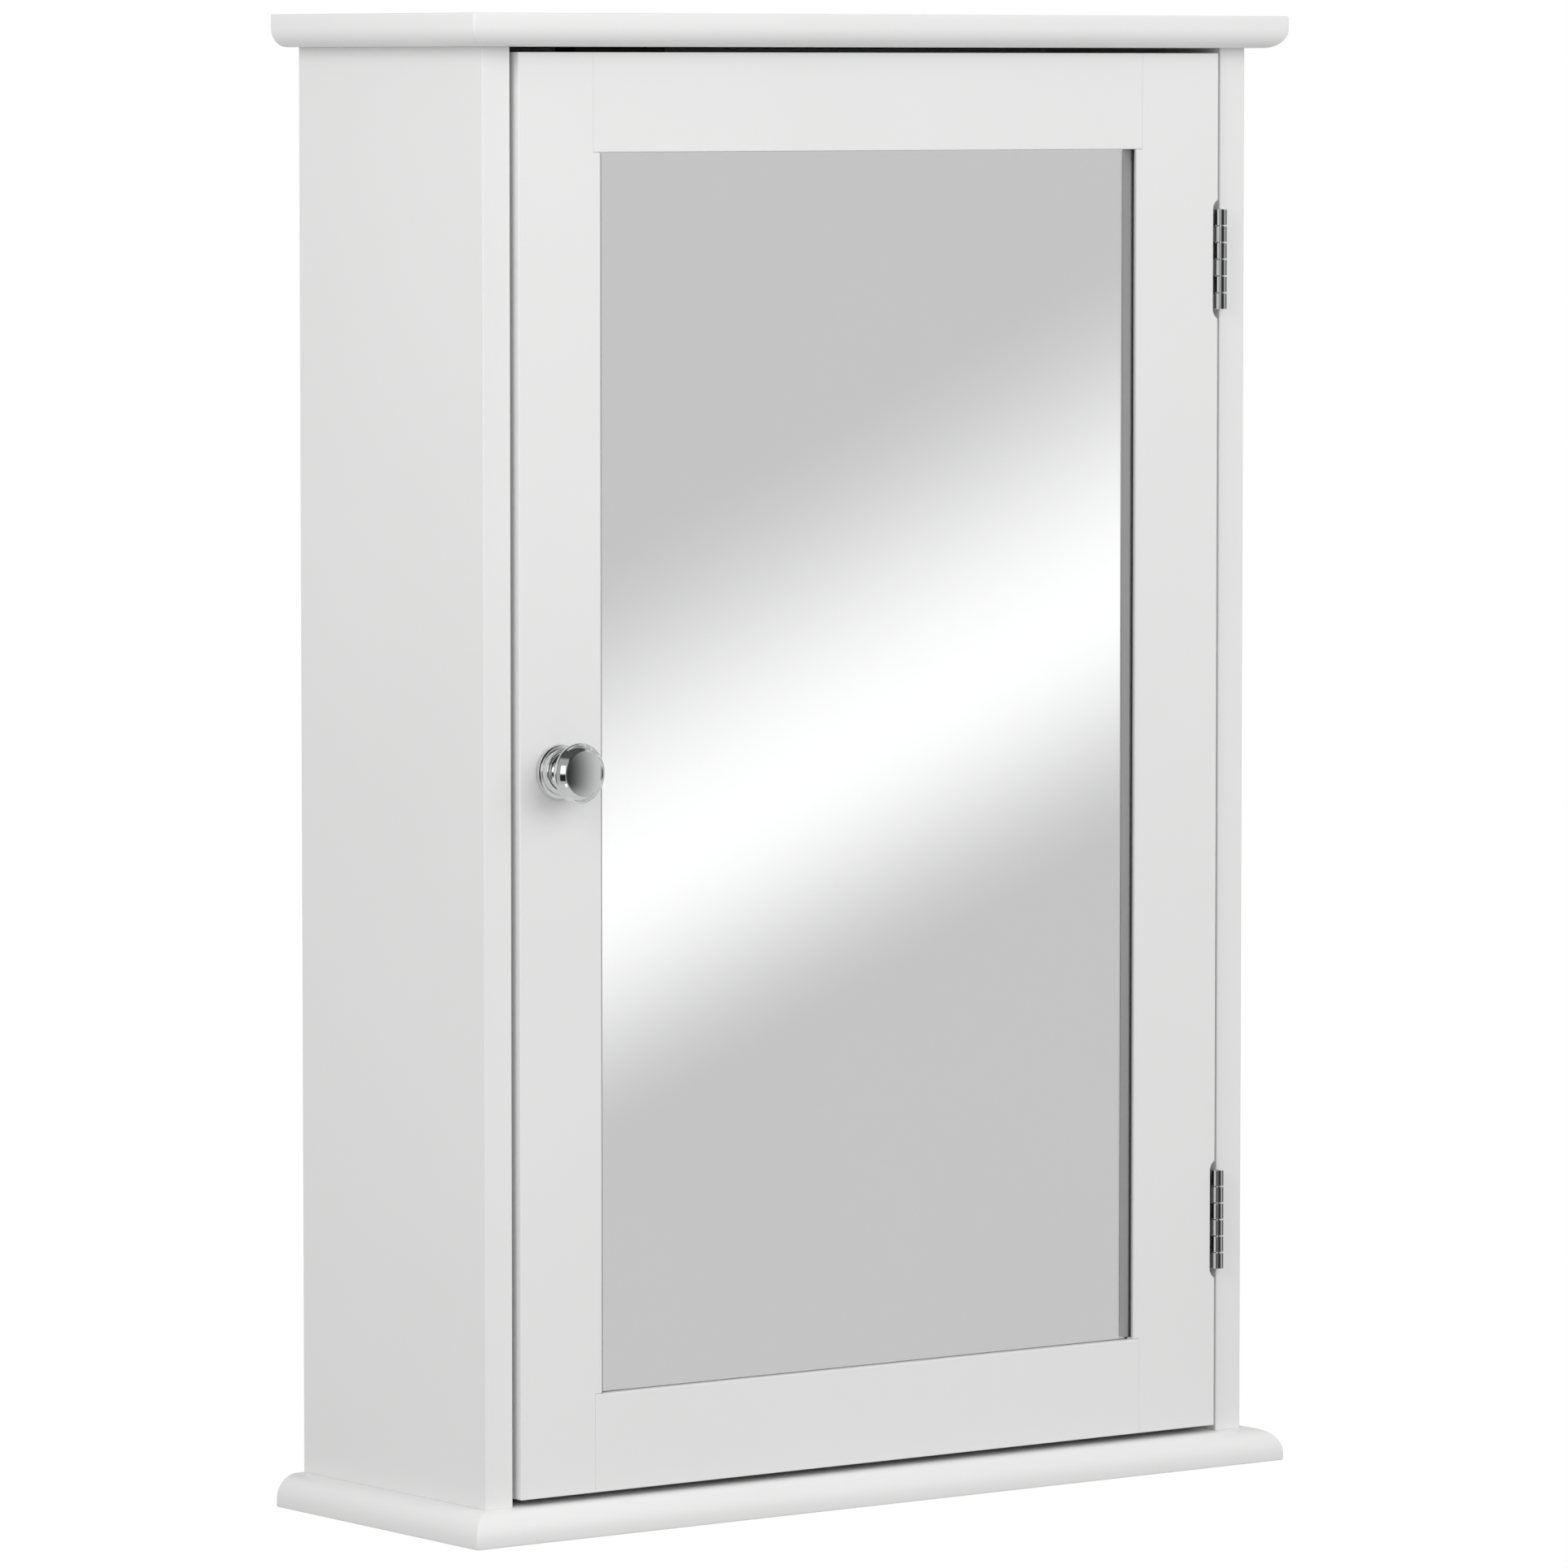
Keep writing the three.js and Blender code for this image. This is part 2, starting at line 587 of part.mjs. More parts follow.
// Relief for the knuckles of one hinge: a round-ended channel on the pin's axis.
function knuckleNotch(height) {
  const channel = bar('z', NOTCH_RADIUS, -HINGE_LENGTH / 2, HINGE_LENGTH / 2, [PIN_X, PIN_Y, height], 16);
  const ends = [-1, 1].map((end) => {
    const ball = new THREE.SphereGeometry(NOTCH_RADIUS, 16, 8);
    ball.rotateX(Math.PI / 2);
    return solid(ball).translate([PIN_X, PIN_Y, height + end * HINGE_LENGTH / 2]);
  });
  return ends.reduce((joined, ball) => joined.add(ball), channel);
}

function doorStile(side) {
  const [inner, outer] = [openingEdge(side), side * DOOR_SIDE];
  const stile = block([Math.min(inner, outer), Math.max(inner, outer)], [DOOR_FRONT, DOOR_BACK],
    [DOOR_BOTTOM, DOOR_TOP]);
  const tools = [mirrorRebate(), tongue(1, GAP), tongue(-1, GAP), railStep(side, 1), railStep(side, -1)];
  if (side < 0) {
    const radius = KNOB_SCREW_RADIUS + GAP;
    tools.push(bar('y', radius, DOOR_FRONT - 1, DOOR_BACK + 1, [KNOB_X, 0, KNOB_Z]));
  } else {
    tools.push(...Object.values(HINGE_HEIGHTS).map(knuckleNotch), ...hingeScrewHoles(-1));
  }
  return cut(stile, tools);
}

// A sheet that fills the rebate, such as the mirror or its backing board.
function rebateSheet(front, thickness) {
  const play = 0.5;
  return block([OPENING[0] - REBATE + play, OPENING[1] + REBATE - play], [front, front + thickness],
    [OPENING_BOTTOM - REBATE + play, OPENING_TOP + REBATE - play]);
}

// The knob points along -Y from the door's face: flange, ringed neck and domed head.
function knob() {
  const neck = KNOB_NECK_RADIUS;
  const profile = [
    [0, KNOB_FLANGE_RADIUS],
    [1.2, KNOB_FLANGE_RADIUS],
    [2, KNOB_FLANGE_RADIUS - 0.9],
    [2.4, KNOB_FLANGE_RADIUS - 2],
    [3.6, KNOB_FLANGE_RADIUS - 2.4],
    [4.6, neck],
    [6.8, neck],
    [7.6, neck + 1.2],
    [8.8, neck + 1.2],
    [9.2, neck],
    [10, neck + 0.8],
    [11.2, KNOB_HEAD_RADIUS - 2.4],
    [12, KNOB_HEAD_RADIUS - 0.4],
    [12.7, KNOB_HEAD_RADIUS],
    [13.6, KNOB_HEAD_RADIUS],
    [14.8, KNOB_HEAD_RADIUS - 1],
    [16, KNOB_HEAD_RADIUS - 3.2],
  ];
  const dome = { from: 16, rise: KNOB_PROJECTION - 16, radius: KNOB_HEAD_RADIUS - 3.2, steps: 5 };
  for (let step = 1; step < dome.steps; step += 1) {
    const angle = (step / dome.steps) * Math.PI / 2;
    profile.push([dome.from + dome.rise * Math.sin(angle), dome.radius * Math.cos(angle)]);
  }
  profile.push([KNOB_PROJECTION, 0.6]);
  const bore = bar('-y', KNOB_BORE_RADIUS, -1, KNOB_BORE_DEPTH, [0, 0, 0]);
  return cut(turned(profile, '-y', 18), [bore]);
}

// The knob's machine screw, from a pan head behind the door forward into the knob.
function knobScrew() {
  const head = { radius: 4, height: 2.4 };
  const reach = DOOR_THICKNESS + GAP + KNOB_BORE_DEPTH - 1;
  const body = turned([
    [-head.height, head.radius - 1.4],
    [-head.height + 0.9, head.radius],
    [0, head.radius],
    [0, KNOB_SCREW_RADIUS],
    [reach, KNOB_SCREW_RADIUS],
  ], '-y');
  const cross = { half: 0.5, reach: 2, depth: 1.2 };
  const depths = [head.height - cross.depth, head.height + 1];
  const upright = block([-cross.half, cross.half], depths, [-cross.reach, cross.reach]);
  const across = block([-cross.reach, cross.reach], depths, [-cross.half, cross.half]);
  return cut(body, [upright, across]);
}

function strikeScrewY() {
  return DOOR_BACK + GAP + STRIKE.thickness - 0.1;
}

function strikeScrewHole() {
  return screwHole().rotate([0, 0, -90]).translate([CATCH_X, strikeScrewY(), STRIKE_Z]);
}

function strikePlate() {
  const half = STRIKE.width / 2;
  const rear = DOOR_BACK + GAP;
  const plate = block([CATCH_X - half, CATCH_X + half], [rear, rear + STRIKE.thickness],
    [STRIKE_Z - STRIKE.height / 2, STRIKE_Z + STRIKE.height / 2]);
  return cut(plate, [strikeScrewHole()]);
}

function door() {
  const group = new THREE.Group();
  group.add(
    piece('door_stile_left', doorStile(-1), 'lacquer'),
    piece('door_stile_right', doorStile(1), 'lacquer'),
    piece('door_rail_top', doorRail(1), 'lacquer'),
    piece('door_rail_bottom', doorRail(-1), 'lacquer'),
    piece('mirror_glass', rebateSheet(GLASS_FRONT + GAP, GLASS), 'mirror'),
    piece('mirror_backing', rebateSheet(GLASS_FRONT + GLASS + 2 * GAP, BACK_THICKNESS), 'fibreboard'),
    place(piece('knob', knob(), 'chrome'), KNOB_X, DOOR_FRONT - GAP, KNOB_Z),
    place(piece('knob_screw', knobScrew(), 'zinc'), KNOB_X, DOOR_BACK + GAP, KNOB_Z),
    piece('strike_plate', strikePlate(), 'nickel'),
  );
  const screw = place(piece('strike_screw', smallScrew(), 'zinc'), CATCH_X, strikeScrewY(), STRIKE_Z);
  screw.rotation.z = -Math.PI / 2;
  group.add(screw);
  return group;
}

// ================= Hinges =================

// Holes for the screws of one row of leaves: side is +1 for the cabinet, -1 for the door.
function hingeScrewHoles(side) {
  return Object.values(HINGE_HEIGHTS).flatMap((height) => [-1, 1].map((row) => (
    screwHole().rotate([0, 0, side > 0 ? 0 : 180]).translate([
      PIN_X + side * SCREW_FACE, LEAF_MIDDLE, height + row * HINGE_SCREW_OFFSET])
  )));
}

// One leaf with its rolled knuckles, about the pin's axis. The cabinet's leaf (side +1)
// carries the first, third and fifth knuckle from the top, and the door's the others.
function hingeLeaf(side) {
  const xs = [side * LEAF_INNER, side * LEAF_OUTER].sort((a, b) => a - b);
  const back = LEAF_BACK - PIN_Y;
  const front = LEAF_FRONT - PIN_Y;
  const halfLength = HINGE_LENGTH / 2;
  let leaf = block(xs, [front, back], [-halfLength, halfLength]);
  const pitch = HINGE_LENGTH / KNUCKLES;
  const wall = (KNUCKLE_RADIUS + KNUCKLE_BORE) / 2;
  for (let index = 0; index < KNUCKLES; index += 1) {
    if ((index % 2 === 0) !== (side > 0)) continue;
    const high = halfLength - index * pitch - GAP / 2;
    const low = high - pitch + GAP;
    leaf = leaf.add(bar('z', KNUCKLE_RADIUS, low, high, [0, 0, 0], 12));
    leaf = leaf.add(block(xs, [wall, front + 1], [low, high]));
  }
  const bore = bar('z', KNUCKLE_BORE, -halfLength - 1, halfLength + 1, [0, 0, 0], 12);
  const holes = [-1, 1].map((row) => (
    screwHole().rotate([0, 0, side > 0 ? 0 : 180]).translate([
      side * SCREW_FACE, LEAF_MIDDLE - PIN_Y, row * HINGE_SCREW_OFFSET])));
  return cut(leaf, [bore, ...holes]);
}

function hinge(where, height) {
  const group = new THREE.Group();
  group.position.set(PIN_X, PIN_Y, height);
  const halfLength = HINGE_LENGTH / 2;
  group.add(piece(`hinge_${where}_cabinet_leaf`, hingeLeaf(1), 'chrome'));
  group.add(piece(`hinge_${where}_door_leaf`, hingeLeaf(-1), 'chrome'));
  const pin = bar('z', PIN_RADIUS, -halfLength, halfLength, [0, 0, 0], 12);
  group.add(piece(`hinge_${where}_pin`, pin, 'chrome'));
  for (const [owner, side] of [['cabinet', 1], ['door', -1]]) {
    for (const [row, direction] of [['lower', -1], ['upper', 1]]) {
      const screw = piece(`hinge_${where}_${owner}_screw_${row}`, smallScrew(), 'zinc');
      const z = direction * HINGE_SCREW_OFFSET;
      group.add(place(screw, side * SCREW_FACE, LEAF_MIDDLE - PIN_Y, z, side < 0));
    }
  }
  return group;
}

// ================= The cabinet =================

const cabinet = new THREE.Group();
cabinet.add(carcass(), magneticCatch(), door());
for (const [where, height] of Object.entries(HINGE_HEIGHTS)) {
  cabinet.add(hinge(where, height));
}

export default cabinet;
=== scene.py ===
# Looks of a wall-hung mirror cabinet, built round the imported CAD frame. Lengths are in metres.
# X runs to the right, Y back to the wall, Z up. Positions come from the frame's boxes.
import math

import bmesh
import bpy
from mathutils import Matrix, Vector


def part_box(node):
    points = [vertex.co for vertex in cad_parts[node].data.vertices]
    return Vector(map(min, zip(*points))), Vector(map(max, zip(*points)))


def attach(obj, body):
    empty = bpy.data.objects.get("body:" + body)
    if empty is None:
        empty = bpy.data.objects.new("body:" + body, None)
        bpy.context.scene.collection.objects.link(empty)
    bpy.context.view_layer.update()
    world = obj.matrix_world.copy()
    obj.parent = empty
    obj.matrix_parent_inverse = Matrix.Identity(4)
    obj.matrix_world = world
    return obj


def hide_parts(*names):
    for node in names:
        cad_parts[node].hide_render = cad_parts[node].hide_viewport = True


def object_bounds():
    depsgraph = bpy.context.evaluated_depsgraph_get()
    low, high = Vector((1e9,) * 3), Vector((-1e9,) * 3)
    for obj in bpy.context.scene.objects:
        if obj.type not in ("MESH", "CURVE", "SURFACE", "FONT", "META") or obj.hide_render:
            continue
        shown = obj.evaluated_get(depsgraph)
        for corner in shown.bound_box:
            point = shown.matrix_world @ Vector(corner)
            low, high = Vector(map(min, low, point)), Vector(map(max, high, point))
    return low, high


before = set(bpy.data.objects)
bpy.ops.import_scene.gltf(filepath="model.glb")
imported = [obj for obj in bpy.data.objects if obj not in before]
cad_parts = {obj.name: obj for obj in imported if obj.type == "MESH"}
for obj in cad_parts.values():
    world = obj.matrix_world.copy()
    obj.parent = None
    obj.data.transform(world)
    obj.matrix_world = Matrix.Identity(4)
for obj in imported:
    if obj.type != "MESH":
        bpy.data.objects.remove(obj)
cad_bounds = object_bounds()

MM = 0.001
EASE = 0.5 * MM  # sanded arrises of the painted boards
SOFT_EASE = 0.9 * MM
FLAT_ANGLE = math.radians(32)
HEAD_ANGLE = math.radians(35)
SEAM_WEIGHT = 0.12  # share of the easing that an arris in a tight seam gets
SEAM_REACH = 0.2 * MM
OVERCUT = 1 * MM  # how far a cutter starts outside a face
BORE_SEGMENTS = 32


# ================= Mesh helpers =================

def add_object(name, mesh):
    piece = bpy.data.objects.new(name, mesh)
    bpy.context.scene.collection.objects.link(piece)
    return piece


def mesh_from(name, bm):
    bmesh.ops.recalc_face_normals(bm, faces=bm.faces)
    mesh = bpy.data.meshes.new(name)
    bm.to_mesh(mesh)
    bm.free()
    return mesh


def smooth(piece, angle):
    piece.data.shade_smooth()
    piece.data.set_sharp_from_angle(angle=angle)


def apply_modifiers(piece):
    graph = bpy.context.evaluated_depsgraph_get()
    graph.update()
    mesh = bpy.data.meshes.new_from_object(piece.evaluated_get(graph))
    piece.modifiers.clear()
    piece.data = mesh
    mesh.name = piece.name
    return piece


def add_block(bm, low, high):
    middle = (Vector(low) + Vector(high)) / 2
    size = Vector(high) - Vector(low)
    matrix = Matrix.Translation(middle) @ Matrix.Diagonal((*size, 1))
    bmesh.ops.create_cube(bm, size=1, matrix=matrix)


# Rotation that takes +Z to a direction.
def aim(direction):
    return Vector((0, 0, 1)).rotation_difference(Vector(direction)).to_matrix().to_4x4()


# Faces between two closed rings of vertices.
def bridge(bm, near, far):
    for index in range(len(near)):
        following = (index + 1) % len(near)
        bm.faces.new((near[index], near[following], far[following], far[index]))


# A solid with one ring of vertices at either end.
def close_rings(bm, near, far):
    bm.faces.new(near)
    bm.faces.new(far)
    bridge(bm, near, far)


# A closed turned solid. The profile lists (distance along the axis, radius).
def add_turned(bm, profile, matrix, segments=BORE_SEGMENTS):
    rings = []
    for along, radius in profile:
        ring = []
        for index in range(segments):
            turn = 2 * math.pi * index / segments
            point = Vector((radius * math.cos(turn), radius * math.sin(turn), along))
            ring.append(bm.verts.new(matrix @ point))
        rings.append(ring)
    for near, far in zip(rings, rings[1:]):
        bridge(bm, near, far)
    bm.faces.new(rings[0])
    bm.faces.new(rings[-1])


# A round bar or bore from a point along a direction.
def add_bore(bm, start, direction, length, radius):
    matrix = Matrix.Translation(start) @ aim(direction)
    add_turned(bm, [(0, radius), (length, radius)], matrix)


def extrude_outline(bm, outline, low, high):
    bottom = [bm.verts.new((x, y, low)) for x, y in outline]
    top = [bm.verts.new((x, y, high)) for x, y in outline]
    close_rings(bm, bottom, top)


# Boolean of a piece with the solids that a function adds to an empty mesh.
def combine(piece, build, operation="DIFFERENCE"):
    bm = bmesh.new()
    build(bm)
    tool = add_object("tool", mesh_from("tool", bm))
    modifier = piece.modifiers.new("combine", "BOOLEAN")
    modifier.operation = operation
    modifier.solver = "EXACT"
    modifier.use_self = True
    modifier.object = tool
    apply_modifiers(piece)
    bpy.data.objects.remove(tool)


# Rounds every sharp arris of a piece by a small width, and by less those in a tight seam. A seam
# is an axis and a position on it.
def ease(piece, width, segments, angle=FLAT_ANGLE, seams=()):
    bm = bmesh.new()
    bm.from_mesh(piece.data)
    weight = bm.edges.layers.float.new("bevel_weight_edge")
    for edge in bm.edges:
        if len(edge.link_faces) == 2 and edge.calc_face_angle() > angle:
            middle = (edge.verts[0].co + edge.verts[1].co) / 2
            in_seam = any(abs(middle[axis] - seam) < SEAM_REACH for axis, seam in seams)
            edge[weight] = SEAM_WEIGHT if in_seam else 1.0
    bm.to_mesh(piece.data)
    bm.free()
    modifier = piece.modifiers.new("ease", "BEVEL")
    modifier.width = width
    modifier.segments = segments
    modifier.limit_method = "WEIGHT"
    modifier.miter_outer = "MITER_ARC"
    modifier.use_clamp_overlap = False
    modifier.harden_normals = True
    piece.data.shade_smooth()
    return apply_modifiers(piece)


# A box that stands for a CAD node, cut by tools and with eased arrises.
def board(name, low, high, cutters, width, segments, seams=()):
    bm = bmesh.new()
    add_block(bm, low, high)
    piece = add_object(name, mesh_from(name, bm))
    if cutters:
        combine(piece, cutters)
    return ease(piece, width, segments, FLAT_ANGLE, seams)


# Puts a piece under its body, and hides the CAD node it stands for, if any.
def mark_piece(piece, node, body):
    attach(piece, body)
    if node:
        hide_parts(node)


def finish_piece(piece, node, body, material):
    piece.data.materials.clear()
    piece.data.materials.append(material)
    mark_piece(piece, node, body)


# ================= Material helpers =================

class Shader:
    """A node material with one Principled shader."""

    def __init__(self, name, **values):
        self.material = bpy.data.materials.new(name)
        self.material.use_nodes = True
        self.tree = self.material.node_tree
        self.shader = self.tree.nodes["Principled BSDF"]
        self.material.diffuse_color = (*values.get("base", (0.8, 0.8, 0.8)), 1)
        for key, value in values.items():
            if key == "base":
                self.shader.inputs["Base Color"].default_value = (*value, 1)
            else:
                self.shader.inputs[key.replace("_", " ")].default_value = value

    def node(self, kind, **settings):
        node = self.tree.nodes.new(kind)
        for key, value in settings.items():
            if hasattr(node, key):
                setattr(node, key, value)
            else:
                node.inputs[key.replace("_", " ")].default_value = value
        return node

    def link(self, output, target):
        self.tree.links.new(output, target)

    # Object coordinates, scaled along each axis.
    def place(self, scale=(1, 1, 1)):
        source = self.node("ShaderNodeTexCoord")
        mapping = self.node("ShaderNodeMapping")
        mapping.inputs["Scale"].default_value = scale
        self.link(source.outputs["Object"], mapping.inputs["Vector"])
        return mapping.outputs["Vector"]

    def noise(self, vector, scale, detail=2.0, roughness=0.5):
        noise = self.node("ShaderNodeTexNoise", Scale=scale, Detail=detail, Roughness=roughness)
        self.link(vector, noise.inputs["Vector"])
        return noise.outputs["Fac"]

    # Colour that runs between two tones as a factor does.
    def tones(self, factor, low, high, start=0.3, end=0.7):
        ramp = self.node("ShaderNodeValToRGB")
        ramp.color_ramp.elements[0].position = start
        ramp.color_ramp.elements[1].position = end
        ramp.color_ramp.elements[0].color = (*low, 1)
        ramp.color_ramp.elements[1].color = (*high, 1)
        self.link(factor, ramp.inputs["Fac"])
        return ramp.outputs["Color"]

    def between(self, factor, low, high):
        span = self.node("ShaderNodeMapRange")
        span.inputs["To Min"].default_value = low
        span.inputs["To Max"].default_value = high
        self.link(factor, span.inputs["Value"])
        return span.outputs["Result"]

    def bump(self, height, distance, strength, normal=None):
        bump = self.node("ShaderNodeBump", Strength=strength, Distance=distance)
        self.link(height, bump.inputs["Height"])
        if normal is not None:
            self.link(normal, bump.inputs["Normal"])
        return bump.outputs["Normal"]

    def colour(self, output):
        self.link(output, self.shader.inputs["Base Color"])

    def roughness(self, output):
        self.link(output, self.shader.inputs["Roughness"])

    def normal(self, output):
        self.link(output, self.shader.inputs["Normal"])


# Satin lacquer: faint tone changes, uneven gloss and a very fine orange peel.
def lacquer():
    look = Shader("lacquer", base=(0.86, 0.86, 0.857), IOR=1.47, Coat_Weight=0.12, Coat_Roughness=0.22)
    where = look.place()
    cloud = look.noise(where, 9.0, 3.0)
    look.colour(look.tones(cloud, (0.852, 0.852, 0.849), (0.868, 0.868, 0.866)))
    gloss = look.noise(where, 60.0, 4.0)
    look.roughness(look.between(gloss, 0.36, 0.46))
    peel = look.noise(where, 620.0, 2.0)
    ripple = look.noise(where, 140.0, 1.0)
    look.normal(look.bump(peel, 0.00003, 0.35, look.bump(ripple, 0.00004, 0.3)))
    return look.material


def hardboard(name, low, high):
    look = Shader(name, base=high, IOR=1.45, Specular_IOR_Level=0.3)
    fibres = look.noise(look.place((1, 1, 0.35)), 900.0, 6.0, 0.7)
    patches = look.noise(look.place(), 26.0, 4.0)
    mixed = look.node("ShaderNodeMath", operation="MULTIPLY_ADD")
    look.link(fibres, mixed.inputs[0])
    mixed.inputs[1].default_value = 0.6
    scaled = look.between(patches, 0.0, 0.4)
    look.link(scaled, mixed.inputs[2])
    look.colour(look.tones(mixed.outputs[0], low, high, 0.3, 0.72))
    look.roughness(look.between(fibres, 0.7, 0.92))
    weave = look.node("ShaderNodeTexVoronoi", Scale=520.0, Randomness=0.15)
    look.link(look.place(), weave.inputs["Vector"])
    look.normal(look.bump(fibres, 0.00012, 0.6, look.bump(weave.outputs["Distance"], 0.0002, 0.5)))
    return look.material


def metal(name, tone, roughness, brushing, hazy=0.02):
    look = Shader(name, base=tone, Metallic=1.0, IOR=1.5)
    where = look.place()
    haze = look.noise(where, 180.0, 4.0)
    look.roughness(look.between(haze, roughness, roughness + hazy))
    dark = tuple(0.94 * part for part in tone)
    look.colour(look.tones(look.noise(where, 70.0, 3.0), dark, tone, 0.25, 0.6))
    grain = look.noise(look.place((1, 1, 6)), 1500.0, 3.0)
    look.normal(look.bump(grain, 0.00002, brushing))
    return look.material


def beech():
    look = Shader("beech", base=(0.62, 0.43, 0.25), IOR=1.45, Specular_IOR_Level=0.3)
    grain = look.noise(look.place((1, 1, 0.08)), 900.0, 5.0, 0.65)
    look.colour(look.tones(grain, (0.50, 0.32, 0.17), (0.68, 0.49, 0.30)))
    look.roughness(look.between(grain, 0.6, 0.8))
    look.normal(look.bump(grain, 0.0001, 0.5))
    return look.material


def plastic():
    look = Shader("dark_plastic", base=(0.03, 0.027, 0.025), IOR=1.5)
    where = look.place()
    look.colour(look.tones(look.noise(where, 40.0), (0.026, 0.023, 0.021), (0.034, 0.031, 0.029)))
    spark = look.noise(where, 2600.0, 2.0)
    look.roughness(look.between(spark, 0.42, 0.55))
    look.normal(look.bump(spark, 0.00004, 0.6))
    return look.material


def ferrite():
    look = Shader("ferrite", base=(0.05, 0.05, 0.052), IOR=1.5)
    grit = look.noise(look.place(), 1800.0, 5.0, 0.7)
    look.colour(look.tones(grit, (0.03, 0.03, 0.032), (0.08, 0.08, 0.085)))
    look.roughness(look.between(grit, 0.55, 0.75))
    look.normal(look.bump(grit, 0.0001, 0.6))
    return look.material


def glass():
    look = Shader("glass", base=(0.99, 0.992, 0.991), IOR=1.52, Transmission_Weight=1.0, Roughness=0.0)
    smear = look.noise(look.place(), 14.0, 4.0)
    look.roughness(look.between(smear, 0.0, 0.004))
    return look.material


def silvering():
    look = Shader("silvering", base=(0.93, 0.93, 0.93), Metallic=1.0, Roughness=0.0, IOR=1.5)
    ripple = look.noise(look.place(), 12.0, 2.0)
    look.colour(look.tones(ripple, (0.926, 0.926, 0.926), (0.932, 0.932, 0.932)))
    return look.material


LACQUER = lacquer()
BROWN_BOARD = hardboard("hardboard", (0.16, 0.095, 0.05), (0.33, 0.21, 0.12))
# Near-black board: painted shade for the gap beside the hinge knuckles.
NOTCH_SHADE_BOARD = hardboard("notch_shade_board", (0.012, 0.011, 0.010), (0.022, 0.020, 0.018))
CHROME = metal("chrome", (0.86, 0.865, 0.87), 0.035, 0.02, 0.03)
NICKEL = metal("nickel", (0.72, 0.70, 0.67), 0.16, 0.2)
ZINC = metal("zinc", (0.62, 0.63, 0.65), 0.26, 0.5, 0.1)
STEEL = metal("steel", (0.56, 0.57, 0.58), 0.3, 0.8, 0.1)
BEECH = beech()
PLASTIC = plastic()
FERRITE = ferrite()
GLASS = glass()
SILVER = silvering()

CARRIED = {"dowel": BEECH, "cam_bolt": ZINC}
for name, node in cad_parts.items():
    for start, material in CARRIED.items():
        if name.startswith(start):
            node.data.materials.clear()
            node.data.materials.append(material)


# ================= Boards of the carcass =================

MOULDING_RADIUS = {"top": 7 * MM, "bottom": 9 * MM}
MITRE_RADIUS = 0.9 * MM
MITRE_STEPS = 5
ARRIS_STEPS = 3
MOULDING_STEPS = 12


# Points of the moulded edge as (inset, height above the square face).
def moulding(thickness, radius):
    points = []
    for step in range(ARRIS_STEPS + 1):
        turn = math.pi / 2 * step / ARRIS_STEPS
        points.append((EASE * (1 - math.sin(turn)), EASE * (1 - math.cos(turn))))
    centre = thickness - radius
    for step in range(MOULDING_STEPS + 1):
        turn = math.pi / 2 * step / MOULDING_STEPS
        points.append((radius * (1 - math.cos(turn)), centre + radius * math.sin(turn)))
    return points


# The board's outline at one inset, open at the rear, with rounded front corners.
def moulded_ring(low, high, inset):
    left, right, front = low.x + inset, high.x - inset, low.y + inset
    corner = []
    for step in range(MITRE_STEPS + 1):
        turn = math.pi / 2 * step / MITRE_STEPS
        corner.append((MITRE_RADIUS * (1 - math.cos(turn)), MITRE_RADIUS * (1 - math.sin(turn))))
    points = [(left, high.y)]
    points += [(left + across, front + along) for across, along in corner]
    points += [(right - across, front + along) for across, along in reversed(corner)]
    points.append((right, high.y))
    return points


def moulded_board(name, square_face, direction, radius):
    low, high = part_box(name)
    bm = bmesh.new()
    rings = []
    for inset, height in moulding(high.z - low.z, radius):
        z = square_face + direction * height
        rings.append([bm.verts.new((x, y, z)) for x, y in moulded_ring(low, high, inset)])
    for near, far in zip(rings, rings[1:]):
        for index in range(len(near) - 1):
            bm.faces.new((near[index], near[index + 1], far[index + 1], far[index]))
    bm.faces.new(rings[0])
    bm.faces.new(rings[-1])
    bm.faces.new([ring[0] for ring in rings] + [ring[-1] for ring in reversed(rings)])
    piece = add_object(name + "_moulded", mesh_from(name, bm))
    smooth(piece, math.radians(50))
    finish_piece(piece, name, "cabinet", LACQUER)


moulded_board("top_board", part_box("top_board")[1].z, -1, MOULDING_RADIUS["top"])
moulded_board("bottom_board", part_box("bottom_board")[0].z, 1, MOULDING_RADIUS["bottom"])

PIN_PITCH = 32 * MM
PIN_RADIUS = 2.5 * MM
PIN_BORE_DEPTH = 9 * MM
CAM_RADIUS = 6 * MM
CAM_BORE_DEPTH = 9.8 * MM
WALL_HOLE_X = 100 * MM
WALL_HOLE_RADIUS = 2.75 * MM
WALL_SINK_RADIUS = 5 * MM
HOLE_PLAY = 0.3 * MM
GROOVE_DEPTH = 5 * MM
shelf_pins = [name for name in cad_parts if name.startswith("shelf_pin_")]
cam_locks = [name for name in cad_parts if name.startswith("cam_lock")]


def middle_of(name):
    low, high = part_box(name)
    return (low + high) / 2


